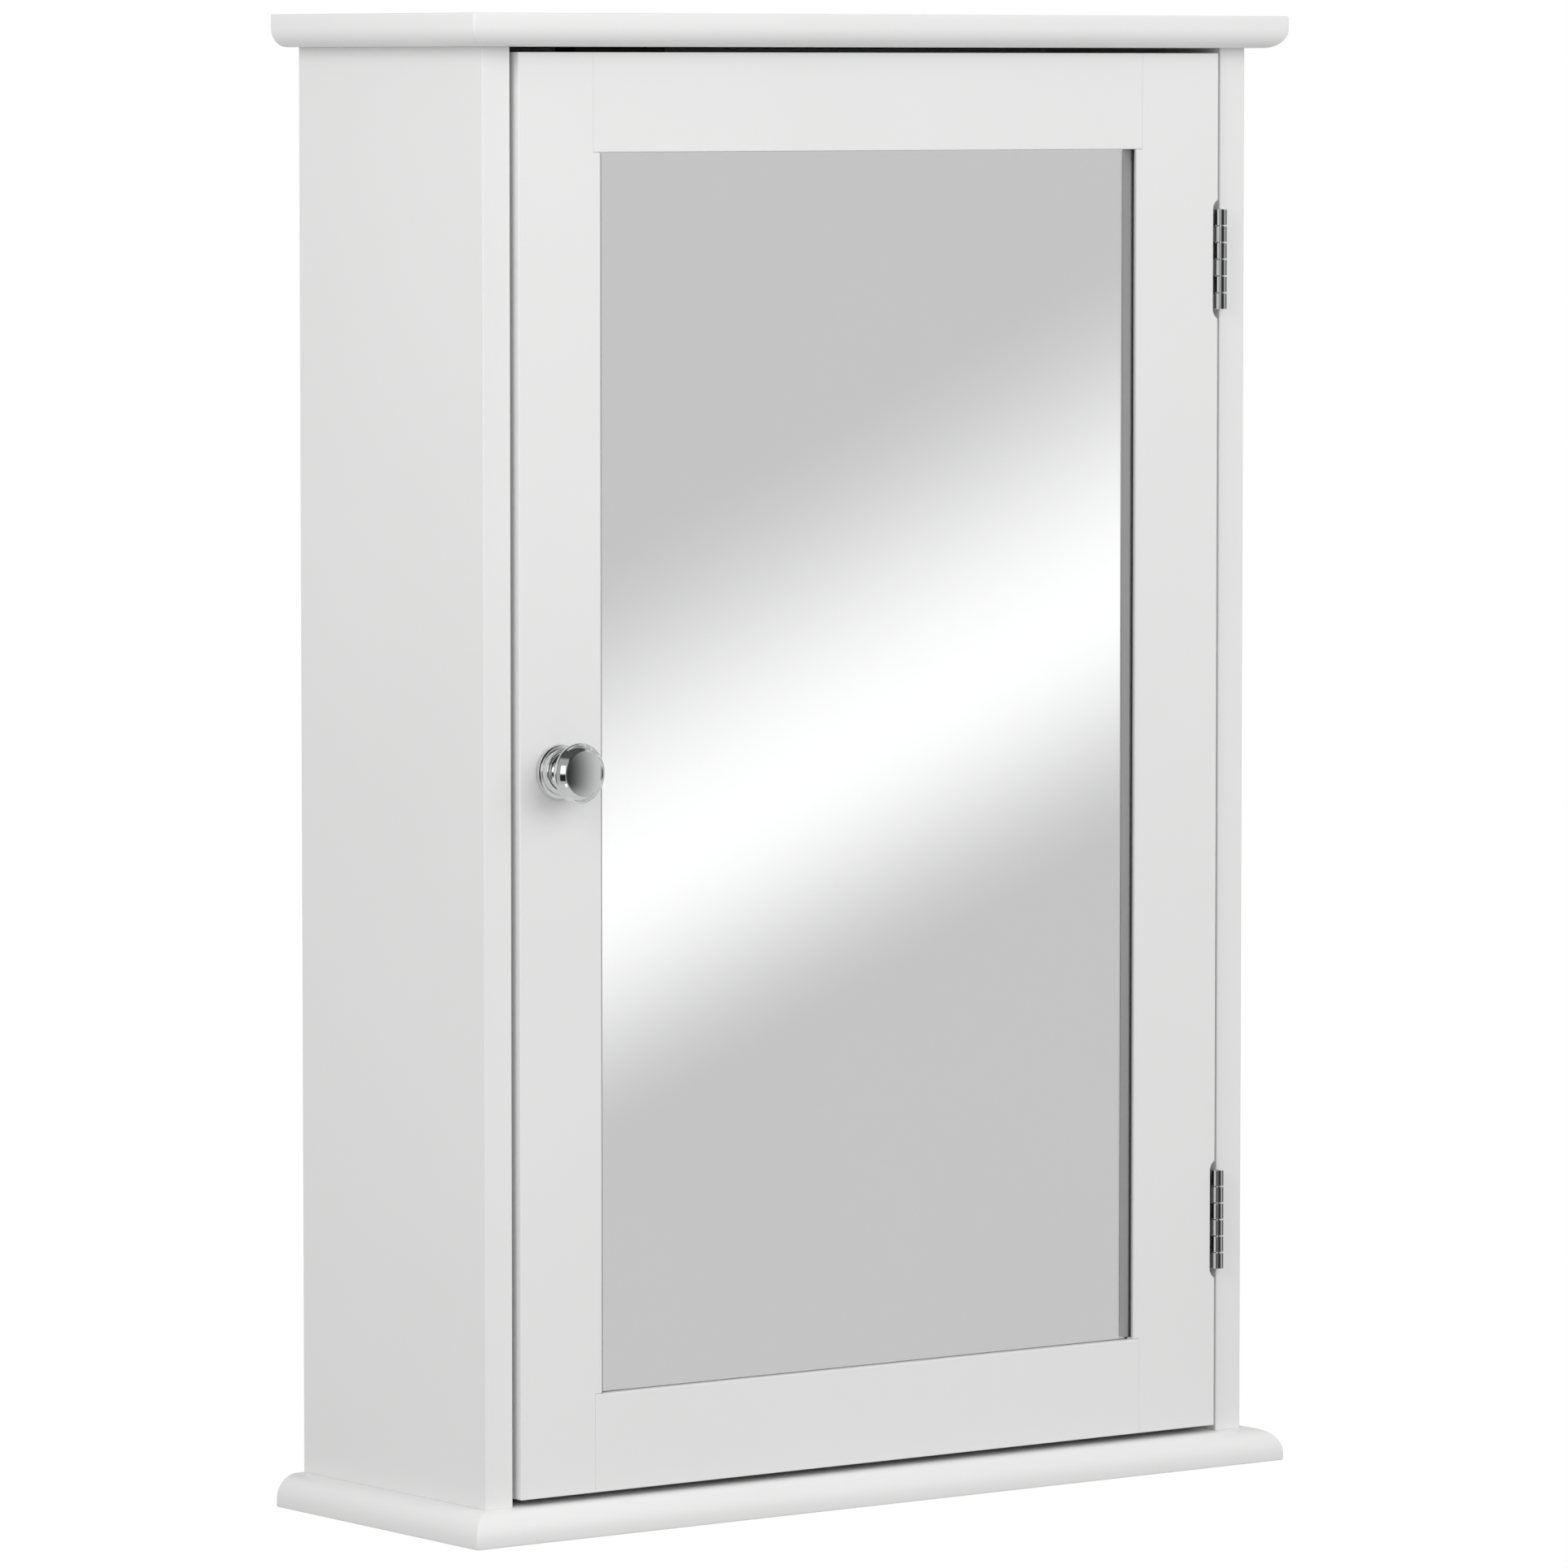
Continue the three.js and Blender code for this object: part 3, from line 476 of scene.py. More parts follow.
# Holes in the inner face of a side panel: three rows for shelf pins, and the cams.
def panel_cutters(hand, side):
    low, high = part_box("side_panel_" + hand)
    inner = high.x if side < 0 else low.x
    back_low, back_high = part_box("back_panel")

    def build(bm):
        for name in (pin for pin in shelf_pins if hand in pin):
            centre = middle_of(name)
            for row in (-1, 0, 1):
                start = (inner - side * OVERCUT, centre.y, centre.z + row * PIN_PITCH)
                add_bore(bm, start, (side, 0, 0), OVERCUT + PIN_BORE_DEPTH, PIN_RADIUS + HOLE_PLAY)
        for name in (cam for cam in cam_locks if cam.endswith(hand)):
            centre = middle_of(name)
            start = (inner - side * OVERCUT, centre.y, centre.z)
            add_bore(bm, start, (side, 0, 0), OVERCUT + CAM_BORE_DEPTH, CAM_RADIUS + HOLE_PLAY)
        groove = sorted((inner - side * OVERCUT, inner + side * GROOVE_DEPTH))
        add_block(bm, (groove[0], back_low.y - HOLE_PLAY, low.z - OVERCUT),
                  (groove[1], back_high.y + HOLE_PLAY, back_high.z + HOLE_PLAY))

    return build


# The side panels are butted tightly between the top and bottom boards, and the rail under the top one.
BUTT_PLAY = 0.02 * MM
butt_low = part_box("bottom_board")[1].z + BUTT_PLAY
butt_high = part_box("top_board")[0].z - BUTT_PLAY
BUTTS = [(2, butt_low), (2, butt_high)]

for hand, side in (("left", -1), ("right", 1)):
    node = "side_panel_" + hand
    low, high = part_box(node)
    piece = board(node + "_eased", (low.x, low.y, butt_low), (high.x, high.y, butt_high),
                  panel_cutters(hand, side), EASE, 2, BUTTS)
    finish_piece(piece, node, "cabinet", LACQUER)


def rail_cutters(bm):
    low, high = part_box("hanging_rail")
    back_low, back_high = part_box("back_panel")
    profile = [(-OVERCUT, WALL_SINK_RADIUS + OVERCUT),
               (WALL_SINK_RADIUS - WALL_HOLE_RADIUS, WALL_HOLE_RADIUS),
               (high.y - low.y + OVERCUT, WALL_HOLE_RADIUS)]
    for side in (-1, 1):
        start = Matrix.Translation((side * WALL_HOLE_X, low.y, 0)) @ aim((0, 1, 0))
        add_turned(bm, profile, start)
    add_block(bm, (low.x - OVERCUT, back_low.y - HOLE_PLAY, low.z - OVERCUT),
              (high.x + OVERCUT, back_high.y + HOLE_PLAY, back_high.z + HOLE_PLAY))


rail_low, rail_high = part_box("hanging_rail")
rail = board("hanging_rail_eased", rail_low, (rail_high.x, rail_high.y, butt_high),
             rail_cutters, EASE, 2, BUTTS)
finish_piece(rail, "hanging_rail", "cabinet", LACQUER)

shelf = board("shelf_eased", *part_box("shelf"), None, SOFT_EASE, 3)
finish_piece(shelf, "shelf", "shelf", LACQUER)

back = board("back_panel_faced", *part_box("back_panel"), None, 0.2 * MM, 1)
finish_piece(back, "back_panel", "cabinet", LACQUER)
# Only its front is lacquered.
back.data.materials.append(BROWN_BOARD)
for face in back.data.polygons:
    if face.normal.y > -0.5:
        face.material_index = 1


# ================= Door frame and mirror =================

JOINT_STEP = 3.2 * MM  # how far the rails reach into the stiles
SEAM = 0.05 * MM
FRAME_EASE = 0.45 * MM
GLASS_PLAY = 0.3 * MM  # between the door's lip and the CAD's glass
REBATE_PLAY = 0.5 * MM
door_low = Vector(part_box("door_stile_left")[0])
door_high = Vector(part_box("door_stile_right")[1])
opening = {-1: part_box("door_stile_left")[1].x, 1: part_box("door_stile_right")[0].x}
glass_low, glass_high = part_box("mirror_glass")
rail_bottom_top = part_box("door_rail_bottom")[1].z
rail_top_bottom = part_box("door_rail_top")[0].z
lip_rear = glass_low.y - GLASS_PLAY
rebate_low = Vector((glass_low.x - REBATE_PLAY, lip_rear, glass_low.z - REBATE_PLAY))
rebate_high = Vector((glass_high.x + REBATE_PLAY, door_high.y + OVERCUT, glass_high.z + REBATE_PLAY))
knob_centre = middle_of("knob")
pin_centres = {where: middle_of(f"hinge_{where}_pin") for where in ("top", "bottom")}
pin_lengths = {where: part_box(f"hinge_{where}_pin")[1].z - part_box(f"hinge_{where}_pin")[0].z
               for where in ("top", "bottom")}
NOTCH_RADIUS = 3.4 * MM
NOTCH_TIP = 0.05 * MM
NOTCH_STEPS = 8
NOTCH_MATCH = 0.02 * MM
KNOB_BORE_RADIUS = 2.25 * MM


# A channel with ball ends round a hinge's knuckles.
def add_notch(bm, centre, length):
    profile = []
    for step in range(NOTCH_STEPS + 1):
        turn = math.pi / 2 * step / NOTCH_STEPS
        profile.append((-length / 2 - NOTCH_RADIUS * math.cos(turn), NOTCH_RADIUS * math.sin(turn)))
    profile[0] = (profile[0][0], NOTCH_TIP)
    profile += [(-along, radius) for along, radius in reversed(profile)]
    add_turned(bm, profile, Matrix.Translation(centre))


# The notches beside the knuckles get a near-black board: painted shade for the gap round the knuckles.
def paint_notch_shade(piece):
    piece.data.materials.append(NOTCH_SHADE_BOARD)
    for face in piece.data.polygons:
        for where, centre in pin_centres.items():
            across = math.hypot(face.center.x - centre.x, face.center.y - centre.y)
            along = abs(face.center.z - centre.z)
            if across < NOTCH_RADIUS + NOTCH_MATCH and along < pin_lengths[where] / 2:
                face.material_index = 1


UNDERCUT = 1.9 * MM
UNDERCUT_LAND = 0.25 * MM
UNDERCUT_OVERLAP = 0.01 * MM


# The wedge behind the stile's inner arris, so that the lip leans back from the mirror.
def add_undercut(bm, side):
    edge = opening[side]
    land = door_low.y + UNDERCUT_LAND
    rear = lip_rear + UNDERCUT_OVERLAP
    clear = edge - side * OVERCUT
    outline = [(clear, land), (edge, land), (edge + side * UNDERCUT, rear), (clear, rear)]
    extrude_outline(bm, outline, rail_bottom_top, rail_top_bottom)


def stile_cutters(side):
    edge = opening[side]

    def build(bm):
        add_block(bm, rebate_low, rebate_high)
        xs = sorted((edge - side * OVERCUT, edge + side * JOINT_STEP))
        for near, far in ((rail_top_bottom, door_high.z + OVERCUT), (door_low.z - OVERCUT, rail_bottom_top)):
            add_block(bm, (xs[0], door_low.y - OVERCUT, near), (xs[1], door_high.y + OVERCUT, far))
        if side > 0:
            for where, centre in pin_centres.items():
                add_notch(bm, centre, pin_lengths[where])
        else:
            start = (knob_centre.x, door_low.y - OVERCUT, knob_centre.z)
            length = door_high.y - door_low.y + 2 * OVERCUT
            add_bore(bm, start, (0, 1, 0), length, KNOB_BORE_RADIUS)

    return build


for hand, side in (("left", -1), ("right", 1)):
    node = "door_stile_" + hand
    low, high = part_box(node)
    bm = bmesh.new()
    add_block(bm, (low.x, door_low.y, door_low.z), (high.x, door_high.y, door_high.z))
    piece = add_object(node + "_eased", mesh_from(node, bm))
    combine(piece, stile_cutters(side))
    combine(piece, lambda bm: add_undercut(bm, side))
    ease(piece, FRAME_EASE, 2, math.radians(24), [(0, opening[side] + side * JOINT_STEP)])
    finish_piece(piece, node, "door", LACQUER)
    if side > 0:
        # The notch faces beside the knuckles get painted shade.
        paint_notch_shade(piece)


def frame_rebate(bm):
    add_block(bm, rebate_low, rebate_high)


rail_ends = [opening[side] + side * (JOINT_STEP - SEAM) for side in (-1, 1)]
rail_seams = [(0, rail_end) for rail_end in rail_ends]
for end, lower, upper in (("top", rail_top_bottom, door_high.z),
                          ("bottom", door_low.z, rail_bottom_top)):
    node = "door_rail_" + end
    low = Vector((rail_ends[0], door_low.y, lower))
    high = Vector((rail_ends[1], door_high.y, upper))
    piece = board(node + "_eased", low, high, frame_rebate, FRAME_EASE, 2, rail_seams)
    finish_piece(piece, node, "door", LACQUER)

# Float glass close behind the lip, with its silvering behind it.
GLASS_THICKNESS = 1.1 * MM
PANE_PLAY = 0.03 * MM
SILVER_PLAY = 0.01 * MM
pane_front = lip_rear + PANE_PLAY
pane_rear = pane_front + GLASS_THICKNESS
pane = board("mirror_pane", (glass_low.x, pane_front, glass_low.z), (glass_high.x, pane_rear, glass_high.z),
             None, 0.2 * MM, 1)
finish_piece(pane, "mirror_glass", "door", GLASS)
silver = board("mirror_silvering", (glass_low.x, pane_rear + SILVER_PLAY, glass_low.z),
               glass_high, None, 0.02 * MM, 1)
finish_piece(silver, None, "door", SILVER)
backing = board("mirror_backing_board", *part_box("mirror_backing"), None, 0.3 * MM, 1)
finish_piece(backing, "mirror_backing", "door", BROWN_BOARD)


# ================= Small turned pieces =================

# Points on an arc in a profile plane, from one angle to another in degrees.
def arc(centre, radius, start, end, steps):
    points = []
    for step in range(steps + 1):
        turn = math.radians(start + (end - start) * step / steps)
        points.append((centre[0] + radius * math.cos(turn), centre[1] + radius * math.sin(turn)))
    return points


# The profile is in millimetres: (distance along the axis, radius).
def turned_piece(name, profile, matrix, segments):
    bm = bmesh.new()
    add_turned(bm, [(along * MM, radius * MM) for along, radius in profile], Matrix.Identity(4), segments)
    piece = add_object(name, mesh_from(name, bm))
    smooth(piece, math.radians(40))
    piece.matrix_world = matrix
    return piece


KNOB_FACE_TOP = 17.38
KNOB_FACE_BEND = 30.0


# The knob along its axis: flange with two steps, ringed neck, rim, steep shoulder and shallow face.
def knob_profile():
    profile = [(0, 9.6), *arc((0.6, 9.5), 0.5, 130, 45, 5)]
    profile += [(1.3, 9.75), (1.5, 9.2), *arc((1.75, 8.6), 0.45, 90, 20, 5)]
    profile += [(2.3, 8.2), *arc((3.0, 7.0), 0.9, 100, 30, 6)]
    profile += [*arc((5.8, 7.6), 2.8, 205, 262, 8)]
    profile += [*arc((6.9, 5.4), 0.7, 200, 20, 10)]
    profile += [*arc((8.2, 5.2), 0.35, 200, 300, 4)]
    profile += [*arc((8.9, 5.2), 0.6, 180, 20, 8)]
    profile += [*arc((7.6, 10.2), 4.6, 300, 352, 12)]
    profile += [*arc((12.7, 10.3), 0.7, 150, 25, 10)]
    shoulder = arc((8.9, 2.34), 9.36, 62, 38, 14)
    face = arc((KNOB_FACE_TOP - KNOB_FACE_BEND, 0), KNOB_FACE_BEND, 15.5, 0.3, 20)
    return profile + shoulder + face


knob_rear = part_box("knob")[1].y
knob_matrix = Matrix.Translation((knob_centre.x, knob_rear, knob_centre.z)) @ aim((0, -1, 0))
knob = turned_piece("knob_turned", knob_profile(), knob_matrix, 128)
finish_piece(knob, "knob", "door", CHROME)


# Cross recess that narrows with depth, cut from a head whose face is at 0 and body along +Z.
def add_recess(bm, reach, width, depth):
    for turn in (0, math.pi / 2):
        rotation = Matrix.Rotation(turn, 4, "Z")
        corners = []
        for z, shrink in ((-0.3 * MM, 1.1), (depth, 0.45)):
            for x, y in ((-1, -1), (1, -1), (1, 1), (-1, 1)):
                point = Vector((x * reach * shrink, y * width * max(shrink, 0.7), z))
                corners.append(bm.verts.new(rotation @ point))
        close_rings(bm, corners[:4], corners[4:])


# Ridges of a thread for a turned profile.
def thread(start, pitch, turns, core, crest, flank, land):
    points = []
    for turn in range(turns):
        foot = start + pitch * turn
        points += [(foot, core), (foot + flank, crest), (foot + flank + land, crest),
                   (foot + 2 * flank + land, core)]
    return points


# The zinc-plated mesh of a piece, which goes, so that several others can share it.
def shared_mesh(piece):
    smooth(piece, HEAD_ANGLE)
    mesh = piece.data
    bpy.data.objects.remove(piece)
    mesh.materials.clear()
    mesh.materials.append(ZINC)
    return mesh


def countersunk_mesh():
    profile = [(0.0, 0.6), (0.0, 2.05), *arc((0.14, 2.12), 0.16, 150, 60, 4), (1.35, 1.3)]
    profile += thread(start=1.9, pitch=0.85, turns=9, core=1.0, crest=1.3, flank=0.3, land=0.15)
    profile += [(9.6, 1.0), (10.45, 0.15)]
    piece = turned_piece("screw", profile, Matrix.Identity(4), 32)
    combine(piece, lambda bm: add_recess(bm, reach=1.35 * MM, width=0.3 * MM, depth=0.95 * MM))
    return shared_mesh(piece)


SCREW_MESH = countersunk_mesh()
SCREW_TURN = math.radians(25)


# A shared screw whose head face is on one side of its CAD node's box.
def place_screw(node, axis, body):
    low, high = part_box(node)
    head = middle_of(node)
    for index, part in enumerate(axis):
        if part:
            head[index] = low[index] if part > 0 else high[index]
    piece = add_object(node + "_cross", SCREW_MESH)
    piece.matrix_world = Matrix.Translation(head) @ aim(axis) @ Matrix.Rotation(SCREW_TURN, 4, "Z")
    mark_piece(piece, node, body)


for where in ("top", "bottom"):
    for row in ("lower", "upper"):
        place_screw(f"hinge_{where}_cabinet_screw_{row}", (1, 0, 0), "cabinet")
        place_screw(f"hinge_{where}_door_screw_{row}", (-1, 0, 0), "door")
for hand in ("left", "right"):
    place_screw(f"catch_screw_{hand}", (0, 0, 1), "cabinet")
place_screw("strike_screw", (0, -1, 0), "door")

screw_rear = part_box("knob_screw")[1].y
pan_profile = [(0.0, 0.8), (0.08, 1.6), (0.3, 2.6), (0.75, 3.4), (1.3, 3.85), (1.9, 4.0), (2.4, 4.0),
               (2.4, 1.9)]
pan_profile += thread(start=3.2, pitch=1.4, turns=14, core=1.6, crest=1.95, flank=0.45, land=0.2)
pan_profile += [(24.6, 1.6), (25.2, 1.2)]
pan = turned_piece("knob_screw_pan", pan_profile, Matrix.Identity(4), 40)
combine(pan, lambda bm: add_recess(bm, reach=2.1 * MM, width=0.45 * MM, depth=1.5 * MM))
smooth(pan, HEAD_ANGLE)
pan.matrix_world = Matrix.Translation((knob_centre.x, screw_rear, knob_centre.z)) @ aim((0, -1, 0))
finish_piece(pan, "knob_screw", "door", ZINC)

# Shelf pins with a groove and domed ends.
for node in shelf_pins:
    low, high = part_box(node)
    side = -1 if "left" in node else 1
    profile = [(0, 1.2), *arc((1.2, 1.3), 1.2, 180, 90, 6), (5.4, 2.5), (5.6, 2.2), (6.2, 2.2), (6.4, 2.5),
               (15.0, 2.5), (15.6, 2.2), (16.0, 1.6)]
    start = middle_of(node)
    start.x = high.x if side < 0 else low.x
    pin = turned_piece(node + "_turned", profile, Matrix.Translation(start) @ aim((side, 0, 0)), 40)
    finish_piece(pin, node, "cabinet", NICKEL)


# Cams: a stepped disc with a cross slot, a notch for the bolt and a pointer.
CAM_SLOT_SIZE = (7.4 * MM, 1.3 * MM, 3.1 * MM)
CAM_SLOT_MIDDLE = 0.55 * MM


def cam_mesh():
    profile = [(0.1, 1.0), (0.1, 5.2), (0.35, 5.65), (0.8, 5.9), (1.4, 6.0), (8.9, 6.0), (9.4, 5.6)]
    piece = turned_piece("cam", profile, Matrix.Identity(4), 56)

    def build(bm):
        for turn in (0, math.pi / 2):
            matrix = Matrix.Rotation(turn, 4, "Z")
            slot = Matrix.Translation((0, 0, CAM_SLOT_MIDDLE)) @ Matrix.Diagonal((*CAM_SLOT_SIZE, 1))
            bmesh.ops.create_cube(bm, size=1, matrix=matrix @ slot)
        add_block(bm, (1.4 * MM, -2.8 * MM, 3.2 * MM), (7 * MM, 2.8 * MM, 8.8 * MM))
        add_block(bm, (4.3 * MM, -0.25 * MM, -MM), (5.4 * MM, 0.25 * MM, 0.6 * MM))

    combine(piece, build)
    return shared_mesh(piece)


CAM_MESH = cam_mesh()
CAM_SINK = 0.1 * MM  # the cam mesh starts this far behind its origin
for node in cam_locks:
    low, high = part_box(node)
    side = -1 if node.endswith("left") else 1
    upward = 1 if "top" in node else -1
    origin = middle_of(node)
    origin.x = high.x + CAM_SINK if side < 0 else low.x - CAM_SINK
    # The piece's Z lies along the cam's axis and its X towards the bolt.
    axis = Vector((side, 0, 0))
    bolt = Vector((0, 0, upward))
    across = axis.cross(bolt)
    rotation = Matrix((bolt, across, axis)).transposed().to_4x4()
    cam = add_object(node + "_cross", CAM_MESH)
    cam.matrix_world = Matrix.Translation(origin) @ rotation
    mark_piece(cam, node, "cabinet")


# ================= Hinges =================

KNUCKLES = 6
KNUCKLE_RADIUS = 2.15 * MM
KNUCKLE_BORE = 1.15 * MM
KNUCKLE_GAP = 0.42 * MM
KNUCKLE_STEPS = 40
ROLL_END = math.radians(-262)
BORE_END = math.radians(80)
LEAF_INNER, LEAF_OUTER = 0.15 * MM, 0.95 * MM
LEAF_FRONT = 2.4 * MM
LEAF_LAP = 0.6 * MM  # of the knuckles over the leaf's plate
LEAF_SINK = [(-MM, 2.5 * MM), (0, 2.5 * MM), (1.4 * MM, 1.5 * MM), (3 * MM, 1.5 * MM)]
TONGUE_REACH = 3.05 * MM
TONGUE_FRONT, TONGUE_REAR = 0.5 * MM, 1.3 * MM


# Section of one rolled knuckle with the start of its leaf, about the pin's axis. The door's
# knuckles have a tongue that fills the door's notch.
def knuckle_outline(side):
    points = []
    first = math.atan2(math.sqrt(KNUCKLE_RADIUS ** 2 - LEAF_OUTER ** 2), LEAF_OUTER)
    tongue = [(TONGUE_REACH, TONGUE_REAR), (TONGUE_REACH, TONGUE_FRONT)]
    for step in range(KNUCKLE_STEPS + 1):
        turn = first + (ROLL_END - first) * step / KNUCKLE_STEPS
        x, y = KNUCKLE_RADIUS * math.cos(turn), KNUCKLE_RADIUS * math.sin(turn)
        in_tongue = side < 0 and x > 0 and TONGUE_FRONT < y < TONGUE_REAR
        if in_tongue:
            points += tongue
            tongue = []
        else:
            points.append((x, y))
    for step in range(KNUCKLE_STEPS + 1):
        turn = ROLL_END + (BORE_END - ROLL_END) * step / KNUCKLE_STEPS
        points.append((KNUCKLE_BORE * math.cos(turn), KNUCKLE_BORE * math.sin(turn)))
    points += [(LEAF_INNER, LEAF_FRONT + LEAF_LAP), (LEAF_OUTER, LEAF_FRONT + LEAF_LAP)]
    return [(side * x, y) for x, y in points]


def hinge_leaf(where, owner, side):
    node = f"hinge_{where}_{owner}_leaf"
    centre = pin_centres[where]
    length = pin_lengths[where]
    pitch = length / KNUCKLES
    leaf_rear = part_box(node)[1].y - centre.y
    xs = sorted((side * LEAF_INNER, side * LEAF_OUTER))
    name = node + "_rolled"
    bm = bmesh.new()
    add_block(bm, (xs[0], LEAF_FRONT, -length / 2), (xs[1], leaf_rear, length / 2))
    piece = add_object(name, mesh_from(name, bm))

    # The knuckles of the two leaves take turns, from the cabinet's at the top.
    def knuckles(bm):
        for index in range(0 if side > 0 else 1, KNUCKLES, 2):
            top = length / 2 - index * pitch - KNUCKLE_GAP / 2
            extrude_outline(bm, knuckle_outline(side), top - pitch + KNUCKLE_GAP, top)

    def holes(bm):
        for row in ("lower", "upper"):
            spot = middle_of(f"hinge_{where}_{owner}_screw_{row}") - centre
            matrix = Matrix.Translation((side * 0.25 * MM, spot.y, spot.z)) @ aim((side, 0, 0))
            add_turned(bm, LEAF_SINK, matrix)

    combine(piece, knuckles, "UNION")
    combine(piece, holes)
    ease(piece, 0.09 * MM, 2, math.radians(50))
    piece.location = centre
    finish_piece(piece, node, owner, CHROME)


for where in ("top", "bottom"):
    hinge_leaf(where, "cabinet", 1)
    hinge_leaf(where, "door", -1)
    half = pin_lengths[where] / 2 / MM
    ends = arc((half - 0.5, 0.45), 0.5, 90, 0, 6)
    profile = [(-half, 0.3), *[(-along, radius) for along, radius in reversed(ends)][1:], *ends]
    pin = turned_piece(f"hinge_{where}_pin_domed", profile, Matrix.Translation(pin_centres[where]), 32)
    finish_piece(pin, f"hinge_{where}_pin", "cabinet", CHROME)


# ================= Catch =================

housing_low, housing_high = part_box("catch_housing")
magnet_low, magnet_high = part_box("catch_magnet")
catch_x = (housing_low.x + housing_high.x) / 2
catch_screws = [middle_of(f"catch_screw_{hand}") for hand in ("left", "right")]
EAR_START = 13 * MM
EAR_CLEAR = 30 * MM
EAR_HEIGHT = 3 * MM
HOUSING_SINK = [(-MM, 2.5 * MM), (0.1 * MM, 2.5 * MM), (1.5 * MM, 1.5 * MM), (5 * MM, 1.5 * MM)]


def housing_cutters(bm):
    for side in (-1, 1):
        xs = sorted((catch_x + side * EAR_START, catch_x + side * EAR_CLEAR))
        add_block(bm, (xs[0], housing_low.y - OVERCUT, housing_low.z - OVERCUT),
                  (xs[1], housing_high.y + OVERCUT, housing_high.z - EAR_HEIGHT))
    add_block(bm, (magnet_low.x - HOLE_PLAY, housing_low.y - OVERCUT, magnet_low.z - HOLE_PLAY),
              (magnet_high.x + HOLE_PLAY, magnet_high.y + HOLE_PLAY, magnet_high.z + HOLE_PLAY))
    for spot in catch_screws:
        start = Matrix.Translation((spot.x, spot.y, housing_high.z - EAR_HEIGHT)) @ aim((0, 0, 1))
        add_turned(bm, HOUSING_SINK, start)


housing = board("catch_housing_moulded", housing_low, housing_high, housing_cutters, 0.35 * MM, 2)
finish_piece(housing, "catch_housing", "cabinet", PLASTIC)

CHEEK = 1.4 * MM
magnet_body = board("catch_magnet_block", (magnet_low.x, magnet_low.y + 0.4 * MM, magnet_low.z + CHEEK),
                    (magnet_high.x, magnet_high.y, magnet_high.z - CHEEK), None, 0.1 * MM, 1)
finish_piece(magnet_body, "catch_magnet", "cabinet", FERRITE)
for name, low_z in (("lower", magnet_low.z), ("upper", magnet_high.z - CHEEK)):
    cheek = board(f"catch_cheek_{name}", (magnet_low.x, magnet_low.y, low_z),
                  (magnet_high.x, magnet_high.y, low_z + CHEEK), None, 0.25 * MM, 2)
    finish_piece(cheek, None, "cabinet", STEEL)

strike_low, strike_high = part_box("strike_plate")
strike_spot = middle_of("strike_screw")
STRIKE_SINK = [(-MM, 2.5 * MM), (0.1 * MM, 2.5 * MM), (1.3 * MM, 1.6 * MM)]
STRIKE_CORNER = 2.5 * MM


# The plate's corners are rounded and its middle is countersunk.
def strike_plate():
    outline = []
    for corner, (across, up) in enumerate(((1, 1), (-1, 1), (-1, -1), (1, -1))):
        x = (strike_high.x if across > 0 else strike_low.x) - across * STRIKE_CORNER
        z = (strike_high.z if up > 0 else strike_low.z) - up * STRIKE_CORNER
        outline += arc((x, z), STRIKE_CORNER, 90 * corner, 90 * corner + 90, 6)
    bm = bmesh.new()
    near = [bm.verts.new((x, strike_low.y, z)) for x, z in outline]
    far = [bm.verts.new((x, strike_high.y, z)) for x, z in outline]
    close_rings(bm, near, far)
    piece = add_object("strike_plate_rounded", mesh_from("strike", bm))

    def hole(bm):
        matrix = Matrix.Translation((strike_spot.x, strike_high.y, strike_spot.z)) @ aim((0, -1, 0))
        add_turned(bm, STRIKE_SINK, matrix)

    combine(piece, hole)
    ease(piece, 0.15 * MM, 2)
    finish_piece(piece, "strike_plate", "door", NICKEL)


strike_plate()


# ================= Studio =================

CAMERA_AZIMUTH = math.radians(-36.6)
CAMERA_ELEVATION = math.radians(4.29)
CAMERA_DISTANCE = 3.53
LENS = 217
SENSOR = 36
AIM_LEFT = 4.1 * MM  # of the box's middle, as the camera sees it
AIM_DOWN = 11.2 * MM
box_middle = (cad_bounds[0] + cad_bounds[1]) / 2
back_vector = Vector((math.sin(CAMERA_AZIMUTH) * math.cos(CAMERA_ELEVATION),
                      -math.cos(CAMERA_AZIMUTH) * math.cos(CAMERA_ELEVATION), math.sin(CAMERA_ELEVATION)))
right_vector = Vector((math.cos(CAMERA_AZIMUTH), math.sin(CAMERA_AZIMUTH), 0))
up_vector = back_vector.cross(right_vector)
aim_point = box_middle - AIM_LEFT * right_vector - AIM_DOWN * up_vector

camera_data = bpy.data.cameras.new("camera")
camera_data.lens = LENS
camera_data.sensor_width = SENSOR
camera_data.clip_start = 0.05
camera_data.clip_end = 60
camera = bpy.data.objects.new("camera", camera_data)
bpy.context.scene.collection.objects.link(camera)
camera.matrix_world = Matrix.Translation(aim_point + CAMERA_DISTANCE * back_vector) @ \
    Matrix((right_vector, up_vector, back_vector)).transposed().to_4x4()
bpy.context.scene.camera = camera
bpy.context.scene.view_settings.view_transform = "Standard"
bpy.context.scene.view_settings.look = "None"


# A soft rectangular light that stays out of the reflections.
def area_light(name, location, target, size, power):
    data = bpy.data.lights.new(name, "AREA")
    data.shape = "RECTANGLE"
    data.size, data.size_y = size
    data.energy = power
    light = bpy.data.objects.new(name, data)
    bpy.context.scene.collection.objects.link(light)
    back = (Vector(location) - Vector(target)).normalized()
    light.matrix_world = Matrix.Translation(location) @ back.to_track_quat("Z", "Y").to_matrix().to_4x4()
    light.visible_camera = False
    light.visible_transmission = False
    light.visible_glossy = False


area_light("key", location=(0.33, -1.58, 0.5), target=(-0.2, -0.1, -0.4), size=(2.1, 1.2), power=13.8)
area_light("side_fill", location=(-1.08, -0.44, 0.3), target=(-0.17, -0.05, -0.2), size=(0.7, 0.7),
           power=5.3)

